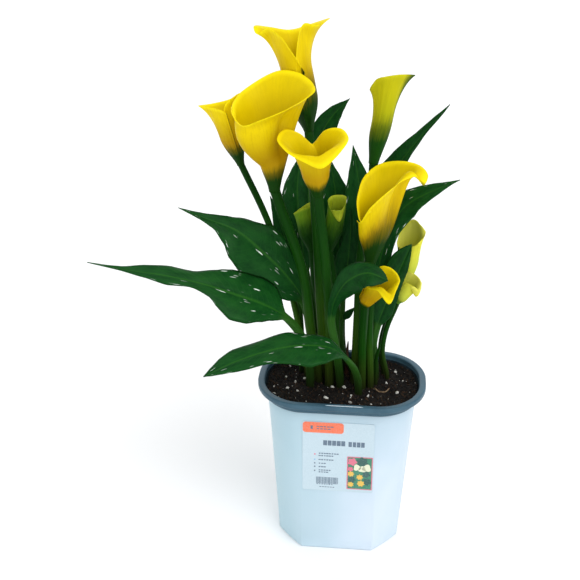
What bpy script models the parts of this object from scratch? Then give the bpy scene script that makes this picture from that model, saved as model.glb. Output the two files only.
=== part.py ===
"""Potted calla lily: a white outer pot, a slate grow pot, soil, two tubers and a plant in flower.

Metres, +Z up. The origin is the centre of the outer pot's flat underside, and the label faces -Y.
The plant's heights are measured from the soil, so it follows a taller or a fuller pot.
"""

import math

import bmesh
import bpy
from mathutils import Matrix, Vector

# Overall sizes of the pots.
POT_HEIGHT = 0.180
RIM_WIDTH = 0.166
RIM_DEPTH = 0.118
FOOT_WIDTH = 0.123
FOOT_DEPTH = 0.083

# Straight stretches of the outline: along the front and back, and along the two ends.
FRONT_FLAT = 0.072
END_FLAT_TOP = 0.012
END_FLAT_FOOT = 0.023
CORNER_STEPS = 5
FOOT_ROUNDNESS = 0.12

# Walls, floors and the rolled rim.
OUTER_WALL = 0.0016
OUTER_FLOOR = 0.0020
INNER_WALL = 0.0014
INNER_FLOOR = 0.0016
RIM_OVERHANG = 0.0095
RIM_BEAD = 0.0065
RIM_THICK = 0.0055
RIM_SKIRT = 0.014
POT_GAP = 0.0004
WALL_ROWS = 4
FOOT_EDGE = 0.0012
DRAIN_RADIUS = 0.004
DRAIN_SPACING = 0.026
LUG = (0.0040, 0.0070, 0.0090)
LUG_BITE = 0.0015
LUG_INSET = 0.0006
BEAD_ROUND = 0.0010
BEAD_INNER_DROP = 0.0040
BEAD_UNDER = 0.0024
FLARE_SHORT = 0.0018
FLARE_RISE = 0.0035

# Soil, tubers and the seats of the stalks.
SOIL_DROP = 0.012
SOIL_BEVEL = 0.003
SEAT_GAP = 0.0003
STALK_DEPTH = 0.018
SOCKET_SPARE = 0.003
SOCKET_RISE = 0.004
TUBER_RADII = (0.023, 0.015, 0.011)
TUBER_SIDES = 12
TUBER_ROWS = 6
TUBER_PLACES = {"tuber_left": (-0.020, 0.018), "tuber_right": (0.024, 0.012)}
DESIGN_SOIL_DEPTH = 0.0458

# Label on the front.
LABEL_WIDTH = 0.070
LABEL_HEIGHT = 0.082
LABEL_BOTTOM = 0.075
LABEL_THICK = 0.0004
LABEL_GAP = 0.0002

# Plant tissue.
SPATHE_THICK = 0.0011
BLADE_THICK = 0.0012
STALK_SIDES = 8
SPATHE_SIDES = 12
SPATHE_ROWS = 5
SPATHE_LIP = 0.2
SPATHE_RISES = (0, 0.35, 0.95, 1)
THROAT_RUN = 0.008
SPADIX_LENGTH = 0.55
SPADIX_FOOT = 0.42
SPADIX_SIDES = 6
SPADIX_STATIONS = ((0, 1), (0.1, 1), (0.3, 1.5), (0.6, 1.9), (0.9, 1.7), (1, 0.8))
RIB_TAPER = 0.75
BLADE_ENDS = (0.02, 0.985)

BODY_TOP = POT_HEIGHT - RIM_SKIRT
SOIL_TOP = POT_HEIGHT - SOIL_DROP
INNER_OUTSIDE = -(OUTER_WALL + POT_GAP)
INNER_INSIDE = INNER_OUTSIDE - INNER_WALL
SOIL_SIDE = INNER_INSIDE - SEAT_GAP
SOIL_HALF_DEPTH = RIM_DEPTH / 2 - RIM_OVERHANG + SOIL_SIDE
GROWTH = SOIL_HALF_DEPTH / DESIGN_SOIL_DEPTH

COLOURS = {
    "outer_pot": ((0.72, 0.85, 0.92), 0.35),
    "inner_pot": ((0.06, 0.13, 0.19), 0.45),
    "label": ((0.86, 0.90, 0.94), 0.40),
    "soil": ((0.020, 0.014, 0.010), 0.95),
    "tuber": ((0.25, 0.15, 0.08), 0.80),
    "scape": ((0.05, 0.20, 0.02), 0.45),
    "spathe": ((0.90, 0.62, 0.01), 0.40),
    "young_spathe": ((0.45, 0.50, 0.03), 0.40),
    "spadix": ((0.85, 0.45, 0.02), 0.60),
    "leaf": ((0.01, 0.09, 0.02), 0.40),
    "shoot": ((0.12, 0.05, 0.03), 0.55),
}

# Each flower: the foot of its scape (x, y), the points its scape passes, the throat where the
# spathe starts, the scape's radius at foot and throat, the radius of the spathe's tube, and the
# margin of the spathe's mouth, which starts at the pointed tip. Heights are above the soil.
FLOWERS = {
    "top": {
        "foot": (-0.020, 0.024),
        "scape": [(-0.025, 0.025, 0.084), (-0.030, 0.024, 0.168), (-0.035, 0.034, 0.220)],
        "throat": (-0.039, 0.044, 0.251),
        "radii": (0.0043, 0.0042),
        "tube": 0.0140,
        "mouth": [
            (-0.021, 0.050, 0.352), (-0.032, 0.034, 0.338), (-0.043, 0.024, 0.328),
            (-0.054, 0.024, 0.328), (-0.061, 0.029, 0.338), (-0.074, 0.038, 0.343),
            (-0.090, 0.048, 0.346), (-0.071, 0.062, 0.342), (-0.044, 0.066, 0.343),
        ],
    },
    "left": {
        "foot": (-0.036, 0.022),
        "scape": [(-0.045, 0.028, 0.048), (-0.063, 0.038, 0.117), (-0.081, 0.034, 0.171)],
        "throat": (-0.101, 0.022, 0.223),
        "radii": (0.0032, 0.0032),
        "tube": 0.0110,
        "mouth": [
            (-0.139, 0.018, 0.278), (-0.126, 0.008, 0.279), (-0.113, 0.004, 0.278),
            (-0.102, 0.012, 0.284), (-0.102, 0.026, 0.288), (-0.118, 0.038, 0.282),
            (-0.132, 0.032, 0.279),
        ],
    },
    "large": {
        "foot": (-0.024, 0.012),
        "scape": [(-0.032, 0.008, 0.057), (-0.040, 0.002, 0.122)],
        "throat": (-0.066, -0.004, 0.207),
        "radii": (0.0045, 0.0048),
        "tube": 0.0190,
        "mouth": [
            (-0.030, -0.006, 0.300), (-0.041, 0.012, 0.308), (-0.060, 0.024, 0.312),
            (-0.085, 0.022, 0.300), (-0.103, -0.002, 0.285), (-0.093, -0.028, 0.272),
            (-0.070, -0.040, 0.285), (-0.047, -0.030, 0.296),
        ],
    },
    "small_front": {
        "foot": (-0.013, 0.006),
        "scape": [(-0.013, -0.002, 0.075), (-0.019, -0.014, 0.153)],
        "throat": (-0.025, -0.022, 0.210),
        "radii": (0.0046, 0.0046),
        "tube": 0.0130,
        "mouth": [
            (-0.019, -0.056, 0.246), (-0.005, -0.044, 0.256), (0.003, -0.024, 0.264),
            (-0.009, -0.008, 0.268), (-0.031, -0.008, 0.255), (-0.046, -0.026, 0.269),
            (-0.060, -0.037, 0.263), (-0.042, -0.052, 0.252),
        ],
    },
    "upper_right": {
        "foot": (0.012, 0.013),
        "scape": [(0.013, 0.016, 0.068), (0.015, 0.030, 0.147), (0.022, 0.036, 0.196)],
        "throat": (0.023, 0.038, 0.223),
        "radii": (0.0040, 0.0042),
        "tube": 0.0105,
        "mouth": [
            (0.058, 0.034, 0.307), (0.046, 0.022, 0.307), (0.029, 0.020, 0.306),
            (0.016, 0.030, 0.293), (0.020, 0.048, 0.297), (0.037, 0.054, 0.305),
            (0.050, 0.046, 0.308),
        ],
    },
    "right": {
        "foot": (0.028, 0.005),
        "scape": [(0.025, 0.007, 0.062), (0.025, 0.007, 0.100)],
        "throat": (0.024, 0.005, 0.135),
        "radii": (0.0032, 0.0048),
        "tube": 0.0170,
        "mouth": [
            (0.073, -0.004, 0.225), (0.061, 0.012, 0.231), (0.040, 0.024, 0.229),
            (0.022, 0.020, 0.221), (0.013, 0.004, 0.207), (0.014, -0.016, 0.193),
            (0.031, -0.024, 0.211), (0.051, -0.018, 0.222),
        ],
    },
    "low_front": {
        "foot": (0.020, 0.002),
        "scape": [(0.019, -0.002, 0.055)],
        "throat": (0.020, -0.010, 0.098),
        "radii": (0.0033, 0.0048),
        "tube": 0.0110,
        "mouth": [
            (0.044, -0.032, 0.110), (0.053, -0.020, 0.127), (0.050, -0.008, 0.132),
            (0.036, -0.002, 0.133), (0.021, -0.004, 0.122), (0.015, -0.014, 0.113),
            (0.030, -0.028, 0.121),
        ],
    },
    "right_back": {
        "foot": (0.041, 0.034),
        "scape": [(0.037, 0.038, 0.024), (0.043, 0.045, 0.057)],
        "throat": (0.058, 0.054, 0.090),
        "radii": (0.0022, 0.0034),
        "tube": 0.0110,
        "mouth": [
            (0.064, 0.064, 0.158), (0.076, 0.056, 0.148), (0.072, 0.048, 0.137),
            (0.060, 0.046, 0.132), (0.049, 0.054, 0.129), (0.053, 0.064, 0.146),
        ],
    },
    "curled": {
        "foot": (0.045, 0.024),
        "scape": [(0.039, 0.026, 0.030), (0.042, 0.030, 0.053)],
        "throat": (0.052, 0.032, 0.083),
        "radii": (0.0020, 0.0030),
        "tube": 0.0080,
        "mouth": [
            (0.069, 0.024, 0.092), (0.073, 0.026, 0.107), (0.071, 0.032, 0.115),
            (0.060, 0.038, 0.117), (0.054, 0.036, 0.109), (0.056, 0.026, 0.100),
        ],
    },
    "young_left": {
        "foot": (-0.012, 0.030),
        "scape": [(-0.021, 0.034, 0.046), (-0.031, 0.038, 0.094)],
        "throat": (-0.035, 0.040, 0.132),
        "radii": (0.0034, 0.0034),
        "tube": 0.0120,
        "mouth": [
            (-0.052, 0.040, 0.168), (-0.044, 0.050, 0.176), (-0.032, 0.054, 0.179),
            (-0.022, 0.048, 0.170), (-0.028, 0.036, 0.163), (-0.041, 0.032, 0.164),
        ],
    },
    "young_right": {
        "foot": (-0.007, 0.018),
        "scape": [(-0.008, 0.024, 0.063), (-0.011, 0.032, 0.097)],
        "throat": (-0.017, 0.038, 0.132),
        "radii": (0.0034, 0.0034),
        "tube": 0.0100,
        "mouth": [
            (-0.008, 0.024, 0.167), (-0.001, 0.032, 0.181), (-0.002, 0.042, 0.187),
            (-0.012, 0.050, 0.186), (-0.022, 0.046, 0.179), (-0.019, 0.032, 0.173),
        ],
    },
}

# Each leaf: its foot (x, y), the points its stalk passes, the points along the blade's midrib
# from neck to tip, the way its upper side faces at the neck and at the tip, the blade's width,
# where along the blade it is widest, how sharply it tapers from there, how far its halves fold
# up (degrees), and the stalk's radius.
LEAVES = {
    "far_left": {
        "foot": (-0.032, 0.002),
        "stalk": [(-0.035, -0.003, 0.042), (-0.044, -0.008, 0.066)],
        "blade": [
            (-0.056, -0.014, 0.083), (-0.077, -0.022, 0.099), (-0.100, -0.030, 0.111),
            (-0.129, -0.038, 0.124), (-0.164, -0.042, 0.133), (-0.200, -0.046, 0.139),
            (-0.234, -0.050, 0.147),
        ],
        "faces": ((0.1, -0.4, 0.9), (0.0, -0.6, 0.8)),
        "width": 0.056, "peak": 0.28, "taper": 3.0, "fold": 10, "radius": 0.0042,
    },
    "upper_left": {
        "foot": (-0.029, 0.031),
        "stalk": [(-0.035, 0.028, 0.048)],
        "blade": [
            (-0.041, 0.026, 0.082), (-0.057, 0.022, 0.109), (-0.081, 0.018, 0.136),
            (-0.106, 0.012, 0.160), (-0.131, 0.008, 0.171), (-0.158, 0.002, 0.184),
        ],
        "faces": ((0.2, -0.8, 0.5), (0.2, -0.7, 0.6)),
        "width": 0.056, "peak": 0.36, "taper": 2.6, "fold": 12, "radius": 0.0040,
    },
    "low_left": {
        "foot": (0.017, -0.009),
        "stalk": [(0.015, -0.014, 0.022), (0.006, -0.025, 0.046)],
        "blade": [
            (-0.011, -0.036, 0.063), (-0.038, -0.046, 0.069), (-0.067, -0.056, 0.067),
            (-0.097, -0.062, 0.057), (-0.127, -0.066, 0.042),
        ],
        "faces": ((-0.1, -0.3, 0.9), (-0.1, -0.5, 0.8)),
        "width": 0.050, "peak": 0.36, "taper": 2.0, "fold": 10, "radius": 0.0038,
    },
    "front_right": {
        "foot": (-0.002, 0.004),
        "stalk": [(-0.006, -0.008, 0.046)],
        "blade": [
            (-0.011, -0.015, 0.084), (-0.007, -0.024, 0.109), (0.006, -0.034, 0.133),
            (0.024, -0.042, 0.144), (0.041, -0.046, 0.139),
        ],
        "faces": ((0.2, -0.9, 0.3), (0.1, -0.6, 0.8)),
        "width": 0.034, "peak": 0.50, "taper": 2.0, "fold": 14, "radius": 0.0040,
    },
    "centre_back": {
        "foot": (0.012, 0.037),
        "stalk": [(0.013, 0.048, 0.041)],
        "blade": [
            (0.014, 0.060, 0.086), (0.017, 0.066, 0.138), (0.010, 0.069, 0.184),
            (0.002, 0.072, 0.229),
        ],
        "faces": ((0.1, -1.0, 0.1), (0.0, -0.9, 0.4)),
        "width": 0.046, "peak": 0.35, "taper": 2.2, "fold": 14, "radius": 0.0038,
    },
    "upper_right": {
        "foot": (0.022, 0.027),
        "stalk": [(0.021, 0.036, 0.058), (0.023, 0.048, 0.130)],
        "blade": [
            (0.029, 0.056, 0.174), (0.044, 0.060, 0.209), (0.066, 0.063, 0.241),
            (0.092, 0.066, 0.273),
        ],
        "faces": ((-0.3, -0.9, 0.3), (-0.3, -0.8, 0.5)),
        "width": 0.030, "peak": 0.40, "taper": 2.2, "fold": 16, "radius": 0.0038,
    },
    "right": {
        "foot": (0.033, 0.023),
        "stalk": [(0.029, 0.025, 0.047)],
        "blade": [
            (0.032, 0.027, 0.102), (0.042, 0.028, 0.141), (0.059, 0.027, 0.177),
            (0.081, 0.022, 0.199), (0.103, 0.018, 0.215),
        ],
        "faces": ((-0.2, -0.9, 0.4), (-0.2, -0.7, 0.7)),
        "width": 0.036, "peak": 0.45, "taper": 2.0, "fold": 14, "radius": 0.0037,
    },
    "low_right": {
        "foot": (0.025, 0.014),
        "stalk": [(0.029, 0.016, 0.035)],
        "blade": [
            (0.033, 0.017, 0.063), (0.041, 0.017, 0.090), (0.050, 0.017, 0.117),
            (0.062, 0.016, 0.150),
        ],
        "faces": ((0.1, -1.0, 0.0), (-0.1, -0.9, 0.2)),
        "width": 0.032, "peak": 0.40, "taper": 2.0, "fold": 18, "radius": 0.0034,
    },
    "top_back": {
        "foot": (-0.022, 0.040),
        "stalk": [(-0.024, 0.048, 0.050), (-0.033, 0.058, 0.134)],
        "blade": [
            (-0.037, 0.064, 0.205), (-0.028, 0.068, 0.242), (-0.015, 0.070, 0.262),
            (-0.002, 0.072, 0.275),
        ],
        "faces": ((0.1, -1.0, 0.2), (-0.1, -0.9, 0.4)),
        "width": 0.022, "peak": 0.40, "taper": 2.2, "fold": 14, "radius": 0.0033,
    },
    "left_back": {
        "foot": (-0.033, 0.040),
        "stalk": [(-0.032, 0.050, 0.049)],
        "blade": [
            (-0.042, 0.062, 0.099), (-0.049, 0.068, 0.146), (-0.052, 0.071, 0.187),
            (-0.048, 0.074, 0.222),
        ],
        "faces": ((0.0, -1.0, 0.1), (0.0, -0.9, 0.3)),
        "width": 0.040, "peak": 0.40, "taper": 2.0, "fold": 14, "radius": 0.0038,
    },
    "high_back": {
        "foot": (-0.011, 0.040),
        "stalk": [(-0.010, 0.052, 0.050)],
        "blade": [
            (-0.009, 0.066, 0.101), (-0.012, 0.074, 0.147), (-0.015, 0.078, 0.181),
            (-0.021, 0.081, 0.213),
        ],
        "faces": ((0.0, -1.0, 0.1), (0.1, -0.9, 0.3)),
        "width": 0.030, "peak": 0.40, "taper": 2.2, "fold": 14, "radius": 0.0036,
    },
    "spear": {
        "foot": (-0.043, 0.030),
        "stalk": [(-0.045, 0.040, 0.049)],
        "blade": [(-0.053, 0.052, 0.103), (-0.065, 0.056, 0.143), (-0.078, 0.057, 0.180)],
        "faces": ((0.1, -1.0, 0.2), (0.2, -0.9, 0.3)),
        "width": 0.020, "peak": 0.40, "taper": 2.0, "fold": 20, "radius": 0.0028,
    },
    "mid_back": {
        "foot": (0.001, 0.039),
        "stalk": [(-0.003, 0.046, 0.035)],
        "blade": [
            (-0.003, 0.052, 0.072), (0.000, 0.055, 0.106), (0.002, 0.056, 0.135),
            (0.003, 0.054, 0.172),
        ],
        "faces": ((0.0, -1.0, 0.1), (0.0, -0.9, 0.3)),
        "width": 0.026, "peak": 0.40, "taper": 2.0, "fold": 16, "radius": 0.0032,
    },
    "young": {
        "foot": (0.009, 0.026),
        "stalk": [(-0.002, 0.028, 0.033)],
        "blade": [(-0.001, 0.031, 0.060), (0.010, 0.033, 0.074)],
        "faces": ((0.0, -1.0, 0.1), (0.0, -0.9, 0.4)),
        "width": 0.008, "peak": 0.40, "taper": 2.0, "fold": 24, "radius": 0.0022,
    },
}

# Small spikes at the soil: foot, points, tip and radius.
SPIKES = {
    "shoot": {
        "foot": (0.003, 0.031),
        "points": [(0.003, 0.031, 0.020), (0.004, 0.031, 0.036)],
        "radius": 0.0021,
    },
    "sheath": {
        "foot": (0.033, 0.013),
        "points": [(0.033, 0.010, 0.028), (0.037, 0.006, 0.050)],
        "radius": 0.0024,
    },
}


def clear_scene():
    for obj in list(bpy.data.objects):
        bpy.data.objects.remove(obj, do_unlink=True)


def material(kind):
    found = bpy.data.materials.get(kind)
    if found:
        return found
    colour, roughness = COLOURS[kind]
    made = bpy.data.materials.new(kind)
    made.use_nodes = True
    shader = made.node_tree.nodes["Principled BSDF"]
    shader.inputs["Base Color"].default_value = (*colour, 1)
    shader.inputs["Roughness"].default_value = roughness
    return made


def mesh_object(name, bm, kind, turn=True):
    """An object from a bmesh, with its faces turned outwards where it is closed."""
    if turn:
        bmesh.ops.recalc_face_normals(bm, faces=bm.faces)
    mesh = bpy.data.meshes.new(name)
    bm.to_mesh(mesh)
    bm.free()
    mesh.materials.append(material(kind))
    obj = bpy.data.objects.new(name, mesh)
    bpy.context.scene.collection.objects.link(obj)
    return obj


def loft(name, rings, kind, caps=True, turn=True):
    """A skin through closed rings of points, each ring holding as many as the next."""
    bm = bmesh.new()
    rows = [[bm.verts.new(point) for point in ring] for ring in rings]
    for low, high in zip(rows, rows[1:]):
        for i in range(len(low)):
            j = (i + 1) % len(low)
            bm.faces.new((low[i], low[j], high[j], high[i]))
    if caps:
        bm.faces.new(rows[0])
        bm.faces.new(rows[-1])
    return mesh_object(name, bm, kind, turn)


def box(name, centre, size, kind):
    bm = bmesh.new()
    bmesh.ops.create_cube(bm, size=1, matrix=Matrix.Translation(centre) @ Matrix.Diagonal((*size, 1)))
    return mesh_object(name, bm, kind)


def cut(target, cutter, operation="DIFFERENCE"):
    """Cuts a helper from the target, or joins it, and keeps the helper out of the model."""
    cutter.hide_render = True
    modifier = target.modifiers.new(cutter.name, "BOOLEAN")
    modifier.operation = operation
    modifier.object = cutter


def curve_through(points, steps):
    """A smooth curve through unevenly spaced points, with steps stretches between each two."""
    points = [Vector(point) for point in points]
    gaps = [(after - before).length for before, after in zip(points, points[1:])]
    slopes = [(after - before) / gap for before, after, gap in zip(points, points[1:], gaps)]
    inner = [
        (slopes[i] * gaps[i + 1] + slopes[i + 1] * gaps[i]) / (gaps[i] + gaps[i + 1])
        for i in range(len(gaps) - 1)
    ]
    speeds = [slopes[0], *inner, slopes[-1]]
    found = []
    for i, gap in enumerate(gaps):
        near = points[i] + speeds[i] * gap / 3
        far = points[i + 1] - speeds[i + 1] * gap / 3
        for step in range(steps):
            found.append(blend(points[i], near, far, points[i + 1], step / steps))
    return found + [points[-1]]


def closed_curve_through(points, count):
    """Points spaced by equal share of the parameter along a closed smooth curve."""
    points = [Vector(point) for point in points]
    size = len(points)
    found = []
    for k in range(count):
        at = k * size / count
        i, t = int(at), at - int(at)
        a, b, c, d = (points[(i + shift) % size] for shift in (-1, 0, 1, 2))
        found.append(
            0.5 * (2 * b + (c - a) * t + (2 * a - 5 * b + 4 * c - d) * t**2
                   + (3 * b - a - 3 * c + d) * t**3)
        )
    return found


def tangents(path):
    ends = [path[0], *path, path[-1]]
    return [(after - before).normalized() for before, after in zip(ends, ends[2:])]


def round_ring(centre, axis, radius, sides=STALK_SIDES):
    """A circle of points round an axis, always starting from the same compass side."""
    across = Vector((1, 0, 0)) - axis * axis.x
    across.normalize()
    along = axis.cross(across)
    turns = [2 * math.pi * i / sides for i in range(sides)]
    return [centre + radius * (across * math.cos(a) + along * math.sin(a)) for a in turns]


def grown(point):
    """A point of the plant, given from the soil's surface, in the pot."""
    return Vector(point) * GROWTH + Vector((0, 0, SOIL_TOP))


def stalk_points(foot, points):
    """The stalk's way: down in its socket, at the surface and on through its points."""
    return [(*foot, -STALK_DEPTH), (*foot, 0), *points]


def outline(z, offset):
    """The pot's outline at a height, moved outwards: cut corners at the foot, round ones above."""
    share = min(z / BODY_TOP, 1)
    half_x = (FOOT_WIDTH * (1 - share) + (RIM_WIDTH - 2 * RIM_OVERHANG) * share) / 2 + offset
    half_y = (FOOT_DEPTH * (1 - share) + (RIM_DEPTH - 2 * RIM_OVERHANG) * share) / 2 + offset
    flat_x = FRONT_FLAT / 2
    flat_y = (END_FLAT_FOOT * (1 - share) + END_FLAT_TOP * share) / 2
    roundness = FOOT_ROUNDNESS * (1 - share) + share
    ring = []
    for quarter, (side_x, side_y) in enumerate(((1, 1), (-1, 1), (-1, -1), (1, -1))):
        for step in range(CORNER_STEPS + 1):
            along = step / CORNER_STEPS
            if quarter % 2:
                along = 1 - along
            across_x = roundness * math.cos(along * math.pi / 2) + (1 - roundness) * (1 - along)
            across_y = roundness * math.sin(along * math.pi / 2) + (1 - roundness) * along
            x = side_x * (flat_x + (half_x - flat_x) * across_x)
            y = side_y * (flat_y + (half_y - flat_y) * across_y)
            ring.append(Vector((x, y, z)))
    return ring


def wall(offset, start, end):
    """Rings up or down a wall, at the heights that every wall of the pots and the soil shares."""
    levels = [BODY_TOP * row / WALL_ROWS for row in range(1, WALL_ROWS)]
    between = [z for z in levels if min(start, end) < z < max(start, end)]
    if start > end:
        between.reverse()
    return [(offset, z) for z in (start, *between, end)]


def make_outer_pot():
    profile = [
        (-FOOT_EDGE, 0),
        *wall(0, FOOT_EDGE, BODY_TOP),
        *wall(-OUTER_WALL, BODY_TOP, OUTER_FLOOR),
    ]
    loft("outer_pot", [outline(z, offset) for offset, z in profile], "outer_pot")


def make_inner_pot():
    """The grow pot: it drops into the outer pot, and its flared, rolled rim hooks over the edge."""
    floor = OUTER_FLOOR + POT_GAP
    top = POT_HEIGHT
    bead_in = RIM_OVERHANG - RIM_BEAD
    bead_low = top - RIM_THICK
    flare = bead_in - FLARE_SHORT
    profile = [
        *wall(INNER_INSIDE, floor + INNER_FLOOR, BODY_TOP),
        (flare, BODY_TOP + FLARE_RISE),
        (bead_in, top - BEAD_INNER_DROP),
        (bead_in + BEAD_ROUND, top - BEAD_ROUND),
        (bead_in + RIM_BEAD / 2, top),
        (RIM_OVERHANG - BEAD_ROUND, top - BEAD_ROUND),
        (RIM_OVERHANG, top - RIM_THICK / 2),
        (RIM_OVERHANG - BEAD_ROUND, bead_low + BEAD_ROUND),
        (RIM_OVERHANG - BEAD_UNDER, bead_low),
        (bead_in + INNER_WALL, bead_low - BEAD_ROUND),
        (flare + INNER_WALL, BODY_TOP + FLARE_RISE - INNER_WALL),
        *wall(INNER_OUTSIDE, BODY_TOP + POT_GAP, floor),
    ]
    pot = loft("inner_pot", [outline(z, offset) for offset, z in profile], "inner_pot")
    for side in (-1, 1):
        x = side * (RIM_WIDTH / 2 - LUG[0] / 2 - LUG_INSET)
        lug = box(f"lug_{side}", (x, 0, bead_low + LUG_BITE - LUG[2] / 2), LUG, "inner_pot")
        cut(pot, lug, "UNION")
    for column in (-1, 0, 1):
        for row in (-0.5, 0.5):
            drain = loft(
                f"drain_{column}_{row}",
                [
                    round_ring(Vector((column * DRAIN_SPACING, row * DRAIN_SPACING, z)),
                               Vector((0, 0, 1)), DRAIN_RADIUS)
                    for z in (0, 4 * floor)
                ],
                "inner_pot",
            )
            cut(pot, drain)


def make_label():
    """A thin plate lying on the front's slope."""
    rows = []
    for z in (LABEL_BOTTOM, LABEL_BOTTOM + LABEL_HEIGHT):
        y = min(point.y for point in outline(z, 0))
        near, far = y - LABEL_GAP - LABEL_THICK, y - LABEL_GAP
        x = LABEL_WIDTH / 2
        rows.append([Vector(p) for p in ((-x, near, z), (x, near, z), (x, far, z), (-x, far, z))])
    loft("label", rows, "label")


def make_soil():
    floor = OUTER_FLOOR + POT_GAP + INNER_FLOOR + SEAT_GAP
    profile = [
        *wall(SOIL_SIDE, floor, SOIL_TOP - SOIL_BEVEL),
        (SOIL_SIDE - SOIL_BEVEL, SOIL_TOP),
    ]
    return loft("soil", [outline(z, offset) for offset, z in profile], "soil")


def tuber_rings(place, spare):
    """A flattened round tuber whose crown lies just under the stalks' ends."""
    wide, deep, half_height = (radius * GROWTH for radius in TUBER_RADII)
    centre = grown((*place, -STALK_DEPTH)) - Vector((0, 0, half_height + SEAT_GAP))
    rings = []
    for step in range(1, TUBER_ROWS):
        angle = math.pi * step / TUBER_ROWS
        z = -(half_height + spare) * math.cos(angle)
        reach = math.sin(angle)
        turns = [2 * math.pi * i / TUBER_SIDES for i in range(TUBER_SIDES)]
        rings.append([
            centre + Vector((
                (wide + spare) * reach * math.cos(a), (deep + spare) * reach * math.sin(a), z,
            ))
            for a in turns
        ])
    return rings


def make_tubers(soil):
    for name, place in TUBER_PLACES.items():
        loft(name, tuber_rings(place, 0), "tuber")
        cut(soil, loft(f"{name}_hollow", tuber_rings(place, SEAT_GAP), "soil"))


def cut_socket(soil, name, path, rings):
    """The hole in the soil round a stalk, a named gap wider than it and a little deeper."""
    last = next(i for i, point in enumerate(path) if point.z > SOIL_TOP + SOCKET_RISE)
    wide = [
        [point + (point - centre).normalized() * SEAT_GAP for point in ring]
        for centre, ring in zip(path[: last + 1], rings)
    ]
    wide[0] = [point - Vector((0, 0, SOCKET_SPARE)) for point in wide[0]]
    cut(soil, loft(f"{name}_socket", wide, "soil"))


def spread(first, last, count):
    """Values spaced evenly from first to last."""
    return [first + (last - first) * i / (count - 1) for i in range(count)]


def make_flower(name, flower, soil):
    """A scape, the spathe that opens from its throat and the spadix standing inside."""
    throat = grown(flower["throat"])
    mouth = closed_curve_through([grown(point) for point in flower["mouth"]], SPATHE_SIDES)
    axis = (sum(mouth, Vector()) / len(mouth) - throat).normalized()
    if winding(mouth, axis) < 0:
        mouth.reverse()
    foot_radius, throat_radius = (radius * GROWTH for radius in flower["radii"])

    points = [grown(point) for point in stalk_points(flower["foot"], flower["scape"])]
    path = curve_through([*points, throat - axis * THROAT_RUN * GROWTH, throat], 2)
    radii = spread(foot_radius, throat_radius, len(path))
    directions = tangents(path)
    directions[-1] = axis
    rings = [round_ring(*station) for station in zip(path, directions, radii)]
    loft(f"scape_{name}", rings, "scape")
    cut_socket(soil, name, path, rings)

    seat = throat + axis * SEAT_GAP
    young = name.startswith("young")
    rows = spathe_rows(seat, axis, mouth, throat_radius, flower["tube"] * GROWTH, SPATHE_ROWS)
    kind = "young_spathe" if young else "spathe"
    spathe = loft(f"spathe_{name}", rows, kind, caps=False, turn=False)
    wall = spathe.modifiers.new("wall", "SOLIDIFY")
    wall.thickness = SPATHE_THICK * GROWTH
    wall.offset = -1

    length = SPADIX_LENGTH * min((point - seat).dot(axis) for point in mouth)
    base = SPADIX_FOOT * (throat_radius - SPATHE_THICK * GROWTH)
    rings = [
        round_ring(seat + axis * length * at, axis, base * width, SPADIX_SIDES)
        for at, width in SPADIX_STATIONS
    ]
    loft(f"spadix_{name}", rings, "spadix")


def winding(ring, axis):
    """Above 0 where the ring runs anticlockwise seen from the axis's far end."""
    middle = sum(ring, Vector()) / len(ring)
    spokes = [point - middle for point in ring]
    return sum(a.cross(b).dot(axis) for a, b in zip(spokes, spokes[1:] + spokes[:1]))


def spathe_rows(seat, axis, mouth, start_radius, tube_radius, count):
    """Rings of a funnel from the throat, up a tube and out to the mouth's margin."""
    rows = []
    for row in range(count + 1):
        t = row / count
        ring = []
        for point in mouth:
            height = (point - seat).dot(axis)
            outwards = point - seat - axis * height
            reach = outwards.length
            outwards.normalize()
            lip = tube_radius + (reach - tube_radius) * SPATHE_LIP
            radius = blend(start_radius, tube_radius, lip, reach, t)
            rise = height * blend(*SPATHE_RISES, t)
            ring.append(seat + axis * rise + outwards * radius)
        rows.append(ring)
    return rows


def blend(a, b, c, d, t):
    """A coordinate or a point of a Bezier stretch from a to d."""
    s = 1 - t
    return a * s**3 + 3 * b * s * s * t + 3 * c * s * t * t + d * t**3


def make_leaf(name, leaf, soil):
    """A stalk that flattens into a blade with a keeled midrib, grown as one piece."""
    stalk = [grown(point) for point in stalk_points(leaf["foot"], leaf["stalk"])]
    blade = [grown(point) for point in leaf["blade"]]
    path = curve_through(stalk + blade, 2)
    directions = tangents(path)
    radius = leaf["radius"] * GROWTH
    neck = 2 * len(stalk)
    last = len(path) - 1
    faces = [Vector(face) for face in leaf["faces"]]
    lift = math.tan(math.radians(leaf["fold"]))
    rings = []
    for i, (point, direction) in enumerate(zip(path, directions)):
        along = max(i - neck, 0) / (last - neck)
        opened = min(max((i - neck + 2) / 3, 0), 1)
        rib = radius * (1 - RIB_TAPER * along)
        face = faces[0].lerp(faces[1], along)
        side = direction.cross(face).normalized()
        face = side.cross(direction)
        half = leaf["width"] * GROWTH / 2 * blade_share(along, leaf["peak"], leaf["taper"])
        flat = blade_section(half, lift, BLADE_THICK * GROWTH, rib)
        turns = [2 * math.pi * k / len(flat) for k in range(len(flat))]
        section = [
            (rib * math.cos(turn) * (1 - opened) + across * opened,
             rib * math.sin(turn) * (1 - opened) + up * opened)
            for turn, (across, up) in zip(turns, flat)
        ]
        rings.append([point + side * across + face * up for across, up in section])
    loft(f"leaf_{name}", rings, "leaf")
    cut_socket(soil, f"leaf_{name}", path, rings)


def blade_share(along, peak, taper):
    """The blade's half width at a share of its length, as a part of its widest."""
    along = min(max(along, BLADE_ENDS[0]), BLADE_ENDS[1])
    rise = (along / peak) ** (taper * peak)
    fall = ((1 - along) / (1 - peak)) ** (taper * (1 - peak))
    return rise * fall


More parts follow.
